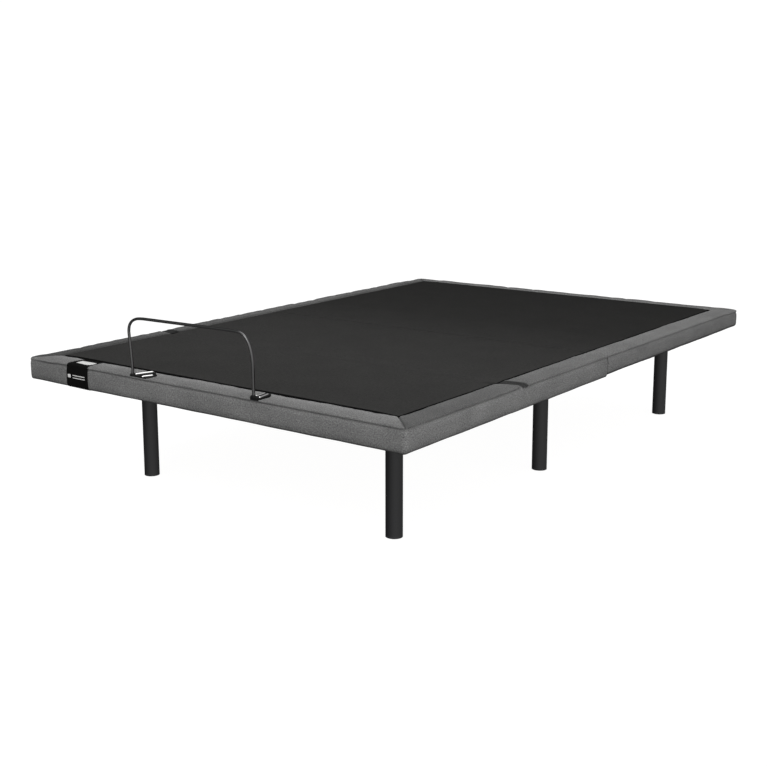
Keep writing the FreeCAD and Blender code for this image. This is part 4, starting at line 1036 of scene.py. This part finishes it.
def foot_cover_shape(x, y):
    """The soft crease at the knee, deep at the right and fading towards the middle."""
    bend = 0.006 * np.sin(5.0 * x + 0.7)
    s = y - KNEE_Y - bend * fade((np.abs(x) - 0.4) / 0.2)
    right = smooth((x + 0.25) / 0.75)
    left = 0.5 * smooth((-x - 0.42) / 0.18)
    depth = 0.0009 + 0.0038 * np.maximum(right, left)
    fall = np.where(s < 0, smooth((s + 0.020) / 0.019), fade(s / 0.042))
    lip = bell((s + 0.034) / 0.020) * 0.0008
    second = bell((y + 0.585 - 0.06 * x) / 0.028) * 0.0009 * smooth((x + 0.55) / 0.2)
    second = second * fade((x - 0.1) / 0.3)
    return -depth * fall + lip - second + waves(x, y, 3, 0.0007)


def head_cover_shape(x, y):
    fold = bell((y - HEAD_Y) / 0.012) * 0.0006
    return waves(x, y, 5, 0.0006) - fold


foot_cover, foot_cover_pins = cover("foot_thigh_deck_cover", -COVER_END, FOOT_OPEN,
                                    [(KNEE_Y, 0.09, 0.004)], foot_cover_shape)
head_cover, head_cover_pins = cover("seat_head_deck_cover", HEAD_OPEN, COVER_END,
                                    [(HEAD_Y, 0.05, 0.005)], head_cover_shape)
settle(foot_cover, hold_dents(foot_cover_pins, foot_cover, [(KNEE_Y, 0.05)]), *COVER_FILL)
settle(head_cover, hold_dents(head_cover_pins, head_cover, []), *COVER_FILL)


def cover_tone(x, y, z):
    """Painted light and shade: the deck cloth is a little lighter towards the foot end and darker
    towards the head, where less light falls.
    """
    return np.interp(y, (-1.0, -0.5, -0.1, 0.3, 1.0), (0.95, 1.03, 0.92, 0.64, 0.52))


for piece in (foot_cover, head_cover):
    set_tone(piece, cover_tone)
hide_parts("foot_deck_cover", "thigh_deck_cover")
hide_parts("seat_deck_cover", "head_deck_cover")
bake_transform(foot_cover)
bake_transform(head_cover)

GUSSET_X = 0.6770
# half of the lining's section, its upper and lower face: distance from the knee joint and height
GUSSET_UPPER = [(0.0450, 0.38525), (0.0300, 0.38525), (0.0204, 0.38525), (0.0197, 0.38350),
                (0.0185, 0.38150), (0.0100, 0.38000), (0.0, 0.37960)]
GUSSET_LOWER = [(0.0450, 0.38505), (0.0300, 0.38505), (0.0199, 0.38480), (0.0196, 0.37200),
                (0.0100, 0.37050), (0.0, 0.37000)]
GUSSET_RING = ([(-y, z) for y, z in GUSSET_UPPER[:-1]] + GUSSET_UPPER[::-1]
               + GUSSET_LOWER + [(-y, z) for y, z in GUSSET_LOWER[-2::-1]])


def knee_gusset():
    """The black cloth lining that bridges the gap between the two boards under the knee fold."""
    points = []
    across = even(-GUSSET_X, GUSSET_X, 0.03)
    for x in across:
        for along, height in GUSSET_RING:
            slack = max(0.0, 1 - abs(along) / 0.018)
            points.append((x, KNEE_Y + along, height + 0.0004 * slack * math.sin(60 * x + 90 * along)))
    size = len(GUSSET_RING)
    faces = [(a, d, c, b) for a, b, c, d in ring_quads(len(across), size)]
    faces += [range(size), range(len(points) - size, len(points))[::-1]]
    uvs = [(points[k][0], points[k][1] + points[k][2]) for f in faces for k in f]
    # the near-black cloth is also painted shade in the knee fold
    made = new_mesh("knee_gusset", points, faces, BINDING_AND_SHADE_FABRIC, uvs)
    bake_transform(made)


knee_gusset()

# ------------------------------------------------------------------ mattress retainer bar

BAR_Y, BAR_RADIUS = -1.007, 0.00425
BAR_PATH = [
    (-0.2440, 0.3885), (-0.2440, 0.4030), (-0.2446, 0.4150), (-0.2470, 0.4400), (-0.2502, 0.4750),
    (-0.2526, 0.5000), (-0.2536, 0.5130), (-0.2505, 0.5280), (-0.2400, 0.5405), (-0.2230, 0.5485),
    (-0.2000, 0.5510), (-0.1700, 0.5514), (-0.1000, 0.5522), (0.0200, 0.5538), (0.1100, 0.5548),
    (0.1400, 0.5550), (0.1610, 0.5540), (0.1765, 0.5485), (0.1870, 0.5380), (0.1952, 0.5230),
    (0.2006, 0.5060), (0.2040, 0.4880), (0.2054, 0.4700), (0.2060, 0.4400), (0.2060, 0.4150),
    (0.2060, 0.4030), (0.2060, 0.3885),
]


def rounded(path, times):
    """Cuts the corners of a line again and again until it runs smoothly."""
    for _ in range(times):
        cut = [path[0]]
        for (ax, az), (bx, bz) in zip(path, path[1:]):
            cut.append((0.75 * ax + 0.25 * bx, 0.75 * az + 0.25 * bz))
            cut.append((0.25 * ax + 0.75 * bx, 0.25 * az + 0.75 * bz))
        cut.append(path[-1])
        path = cut
    return path


def retainer_wire():
    """The bent wire hoop, a little flattened on the inside of its two bends."""
    path = np.array(rounded(BAR_PATH, 2))
    way = np.gradient(path, axis=0)
    way /= np.linalg.norm(way, axis=1, keepdims=True)
    turn = np.abs(np.gradient(np.unwrap(np.arctan2(way[:, 1], way[:, 0]))))
    pace = np.maximum(np.linalg.norm(np.gradient(path, axis=0), axis=1), 1e-6)
    squeeze = np.clip(turn / pace / 24.0, 0, 1) * 0.10
    sides = 20
    points = []
    for (x, z), (dx, dz), flat in zip(path, way, squeeze):
        for k in range(sides):
            a = 2 * math.pi * k / sides
            across = BAR_RADIUS * (1 - flat) * math.cos(a)
            out = BAR_RADIUS * (1 + 0.4 * flat) * math.sin(a)
            points.append((x - dz * across, BAR_Y + out, z + dx * across))
    faces = ring_quads(len(path), sides)
    faces += [range(sides)[::-1], range(len(points) - sides, len(points))]
    wire = new_mesh("retainer_wire", points, faces, FINISHES["gunmetal_wire"])
    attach(wire, "retainer")
    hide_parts("retainer_bar")


retainer_wire()

# outlines of the two base plates, the rails on them, and the bar's feet, seen from above
PLATES = (
    (0.3868, 0.3900, ((-0.2515, -1.0145), (-0.1810, -1.0145), (-0.1790, -0.9770), (-0.2140, -0.9500),
                      (-0.2330, -0.9520))),
    (0.3842, 0.3922, ((0.1975, -1.0155), (0.2330, -1.0155), (0.2335, -0.9740), (0.2220, -0.9570),
                      (0.1990, -0.9590))),
)
RAILS = ((-0.2395, -1.0040, -0.2210, -0.9510, 0.3900), (-0.2005, -1.0140, -0.1885, -0.9830, 0.3900),
         (0.2106, -1.0056, 0.2056, -0.9640, 0.3922), (0.2280, -1.0115, 0.2200, -0.9665, 0.3922))
FEET = ((-0.2440, 0.3900), (0.2060, 0.3922))
RAIL_RADIUS = 0.0032
COLLAR_RADIUS, COLLAR_HEIGHT = 0.0080, 0.0026
SCREWS = ((-0.2135, -1.0050, 0.3900), (-0.2070, -0.9650, 0.3900), (0.2130, -0.9640, 0.3922))
SCREW_HEAD = ((0.0034, 0.0), (0.0034, 0.0006), (0.0029, 0.0012), (0.0018, 0.0016), (0.0009, 0.0017),
              (0.0007, 0.0010))


def bracket_plates():
    """The clamps' black base plates, with rolled edges, and a low collar round each foot of the bar."""
    def rise(edge):
        return abs(edge.verts[0].co.z - edge.verts[1].co.z)

    bm = bmesh.new()
    tops = [plate_top for _, plate_top, _ in PLATES]
    for plate_low, plate_top, outline in PLATES:
        low = [bm.verts.new((x, y, plate_low)) for x, y in outline]
        bottom = bm.faces.new(low)
        grown = bmesh.ops.extrude_face_region(bm, geom=[bottom])
        top = [v for v in grown["geom"] if isinstance(v, bmesh.types.BMVert)]
        for v in top:
            v.co.z = plate_top
        corners = [e for v in low for e in v.link_edges if rise(e) > 0.001]
        bmesh.ops.bevel(bm, geom=list(dict.fromkeys(corners)), offset=0.004, segments=4, affect="EDGES")
    bmesh.ops.recalc_face_normals(bm, faces=bm.faces)
    rims = [e for e in bm.edges if rise(e) < 1e-6
            and min(abs(e.verts[0].co.z - plate_top) for plate_top in tops) < 1e-4]
    bmesh.ops.bevel(bm, geom=rims, offset=0.0007, segments=3, affect="EDGES")
    collar = ((COLLAR_RADIUS + 0.0012, 0.0), (COLLAR_RADIUS, COLLAR_HEIGHT * 0.6),
              (COLLAR_RADIUS - 0.0008, COLLAR_HEIGHT * 0.93), (COLLAR_RADIUS - 0.0018, COLLAR_HEIGHT),
              (BAR_RADIUS + 0.0010, COLLAR_HEIGHT), (BAR_RADIUS + 0.0005, COLLAR_HEIGHT * 0.8),
              (BAR_RADIUS + 0.0005, 0.0))
    for foot, plate_top in FEET:
        lathe(bm, (foot, BAR_Y, plate_top), collar, 32, -HALF_L)
    # pan-head screws hold the plates down
    for place in SCREWS:
        bm.faces.new(lathe(bm, place, SCREW_HEAD, 20)[-1])
    made = from_bmesh("bracket_plates", bm, BRACKET_PAINT)
    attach(made, "foot_panel")
    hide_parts("retainer_brackets")


def bright_rails():
    """Half-round bright rails with rounded ends, two on each plate."""
    points, faces = [], []
    sides, steps = 13, 25
    for ax, ay, bx, by, plate_top in RAILS:
        length = math.hypot(bx - ax, by - ay)
        wx, wy = (bx - ax) / length, (by - ay) / length
        start = len(points)
        for t in np.arange(steps) / (steps - 1):
            from_tip = min(t, 1 - t) * length
            size = RAIL_RADIUS * math.sqrt(max(0.02, 1 - max(0.0, 1 - from_tip / RAIL_RADIUS) ** 2))
            for k in range(sides):
                a = math.pi * k / (sides - 1)
                across, up = size * math.cos(a), size * math.sin(a) * 1.05
                points.append((ax + wx * t * length - wy * across, ay + wy * t * length + wx * across,
                               plate_top + 0.0002 + up))
        faces += ring_quads(steps, sides, start)
        faces += [range(start, start + sides), range(len(points) - sides, len(points))[::-1]]
    made = new_mesh("bright_rails", points, faces, FINISHES["polished_strip"])
    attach(made, "foot_panel")
    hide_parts("retainer_clamp_rails")


bracket_plates()
bright_rails()

# ------------------------------------------------------------------ sewn label

LABEL_MIDDLE = -0.4705
LABEL_HALF_LOW, LABEL_HALF_TOP = 0.0455, 0.0385
# distance in from the outer face, height, and the way out of the cloth, from the deck's edge down
LABEL_PATH = [
    (0.0712, 0.3874, 0.0, 1.0), (0.0640, 0.3890, 0.0, 1.0), (0.0560, 0.3895, 0.0, 1.0),
    (0.0460, 0.3898, 0.0, 1.0), (0.0360, 0.3899, 0.0, 1.0), (0.0260, 0.3898, 0.0, 1.0),
    (0.0170, 0.3894, -0.08, 1.0), (0.0100, 0.3888, -0.2, 0.98), (0.0055, 0.3876, -0.45, 0.89),
    (0.0022, 0.3855, -0.75, 0.66), (0.0006, 0.3825, -0.94, 0.34), (0.0, 0.3785, -1.0, 0.08),
    (0.0, 0.3740, -1.0, 0.0), (0.0, 0.3690, -1.0, 0.0), (0.0, 0.3620, -1.0, 0.0),
    (0.0, 0.3550, -1.0, 0.0), (0.0, 0.3480, -1.0, 0.0), (0.0, 0.3410, -1.0, 0.0),
    (0.0, 0.3340, -1.0, 0.0), (0.0003, 0.3290, -0.98, -0.2), (0.0012, 0.3252, -0.85, -0.52),
    (0.0036, 0.3222, -0.5, -0.86), (0.0075, 0.3208, -0.1, -1.0), (0.0130, 0.3204, 0.0, -1.0),
]
LABEL_LIFT, LABEL_THICK = 0.0011, 0.0006
CARE_LIFT, CARE_THICK = LABEL_LIFT + 0.0009, 0.0004
# a square and two lines: x from, to, height from, to
LABEL_BARS = ((-0.5115, -0.4985, 0.3490, 0.3590), (-0.4900, -0.4380, 0.3556, 0.3582),
              (-0.4900, -0.4380, 0.3484, 0.3508))


def thin_solid(name, top, thickness, normals, material):
    """A closed thin piece from a grid of points on its upper face."""
    rows, columns = top.shape[:2]
    low = top - normals * thickness
    points = np.concatenate([top.reshape(-1, 3), low.reshape(-1, 3)])
    half_way = rows * columns
    faces = []

    def index(i, j):
        return i * columns + j

    for i in range(rows - 1):
        for j in range(columns - 1):
            quad = (index(i, j), index(i, j + 1), index(i + 1, j + 1), index(i + 1, j))
            faces.append(quad)
            faces.append(tuple(half_way + k for k in quad[::-1]))
    rim = [index(0, j) for j in range(columns)] + [index(i, columns - 1) for i in range(1, rows)]
    rim += [index(rows - 1, j) for j in range(columns - 2, -1, -1)]
    rim += [index(i, 0) for i in range(rows - 2, 0, -1)]
    for a, b in zip(rim, rim[1:] + rim[:1]):
        faces.append((a, half_way + a, half_way + b, b))
    steps = np.linalg.norm(np.diff(top[:, columns // 2], axis=0), axis=1)
    run = np.concatenate([[0], np.cumsum(steps)])
    uvs = [(points[k][0], run[(k % half_way) // columns]) for face in faces for k in face]
    made = new_mesh(name, points, faces, material, uvs)
    face_outward(made.data)
    return made


LOOK_FROM = 0.02


def over_border(tree, point, normal, lift):
    """The place lift above the border's cloth, straight out from point along normal."""
    start = Vector(point) + Vector(normal) * LOOK_FROM
    hit, _, _, distance = tree.ray_cast(start, -Vector(normal), 0.05)
    return lift if hit is None else LOOK_FROM - distance + lift


def foot_label(tree):
    columns = 19
    rows = len(LABEL_PATH)
    base = np.zeros((rows, columns, 3))
    normals = np.zeros((rows, columns, 3))
    offset = np.zeros((rows, columns))
    for i, (d, z, nd, nz) in enumerate(LABEL_PATH):
        share = i / (rows - 1)
        half_width = LABEL_HALF_TOP + (LABEL_HALF_LOW - LABEL_HALF_TOP) * smooth(share / 0.45)
        for j in range(columns):
            t = 2 * j / (columns - 1) - 1
            edge_wave = 0.0006 * math.sin(9 * share + 2.0 * t)
            base[i, j] = (LABEL_MIDDLE + t * half_width + edge_wave, -HALF_L + d, z)
            normals[i, j] = np.array((0, nd, nz)) / math.hypot(nd, nz)
            offset[i, j] = over_border(tree, base[i, j], normals[i, j], LABEL_LIFT)
    tight = offset.copy()
    for _ in range(3):
        padded = np.pad(offset, ((1, 1), (0, 0)), "edge")
        offset = np.maximum((padded[:-2] + padded[1:-1] + padded[2:]) / 3, tight)
    top = base + normals * offset[..., None]
    return thin_solid("foot_label", top, LABEL_THICK, normals, LABEL_FABRIC)


def label_bars(label):
    """Plain woven bars on the label's face: a square and two thin lines."""
    points, faces = [], []
    tree = BVHTree.FromPolygons([v.co for v in label.data.vertices],
                                [tuple(f.vertices) for f in label.data.polygons])
    for x0, x1, z0, z1 in LABEL_BARS:
        columns, rows = max(4, int((x1 - x0) / 0.0007)), 4
        start = len(points)
        for i in range(columns + 1):
            for j in range(rows + 1):
                u, v = i / columns, j / rows
                rim = min(u * (x1 - x0), (1 - u) * (x1 - x0), v * (z1 - z0), (1 - v) * (z1 - z0))
                raise_by = 0.0005 * min(1, rim / 0.0003) + 0.00012 * (i % 2) * (rim > 0.0002)
                x, z = x0 + u * (x1 - x0), z0 + v * (z1 - z0)
                out = over_border(tree, (x, -HALF_L, z), (0, -1, 0), raise_by)
                points.append((x, -HALF_L - out, z))
        for i in range(columns):
            for j in range(rows):
                a = start + i * (rows + 1) + j
                faces.append((a, a + rows + 1, a + rows + 2, a + 1))
    uvs = [(points[k][0], points[k][2]) for face in faces for k in face]
    return new_mesh("label_bars", points, faces, WHITE_TAPE, uvs)


CARE_CORNERS = ((-0.4886, -1.0017), (-0.4908, -0.9757), (-0.4319, -0.9737), (-0.4291, -1.0022))


def care_label(tree):
    """A white tape label lying on the black one, with one corner a little raised."""
    rows, columns = 9, 15
    (ax, ay), (bx, by), (cx, cy), (dx, dy) = CARE_CORNERS
    top = np.zeros((rows, columns, 3))
    up = np.zeros((rows, columns, 3))
    up[..., 2] = 1.0
    for i in range(rows):
        for j in range(columns):
            u, v = j / (columns - 1), i / (rows - 1)
            x = (ax * (1 - u) + dx * u) * (1 - v) + (bx * (1 - u) + cx * u) * v
            y = (ay * (1 - u) + dy * u) * (1 - v) + (by * (1 - u) + cy * u) * v
            height = over_border(tree, (x, y, STRIP_Z), (0, 0, 1), CARE_LIFT)
            curl = 0.0012 * smooth((u - 0.75) / 0.25) * smooth((0.35 - v) / 0.35)
            ripple = 0.0002 * math.sin(7 * u + 3 * v)
            top[i, j] = (x, y, STRIP_Z + height + curl + ripple)
    return thin_solid("care_label", top, CARE_THICK, up, WHITE_TAPE)


border_tree = BVHTree.FromObject(foot_border, bpy.context.evaluated_depsgraph_get())
black_label = foot_label(border_tree)
for piece in (black_label, label_bars(black_label), care_label(border_tree)):
    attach(piece, "foot_panel")
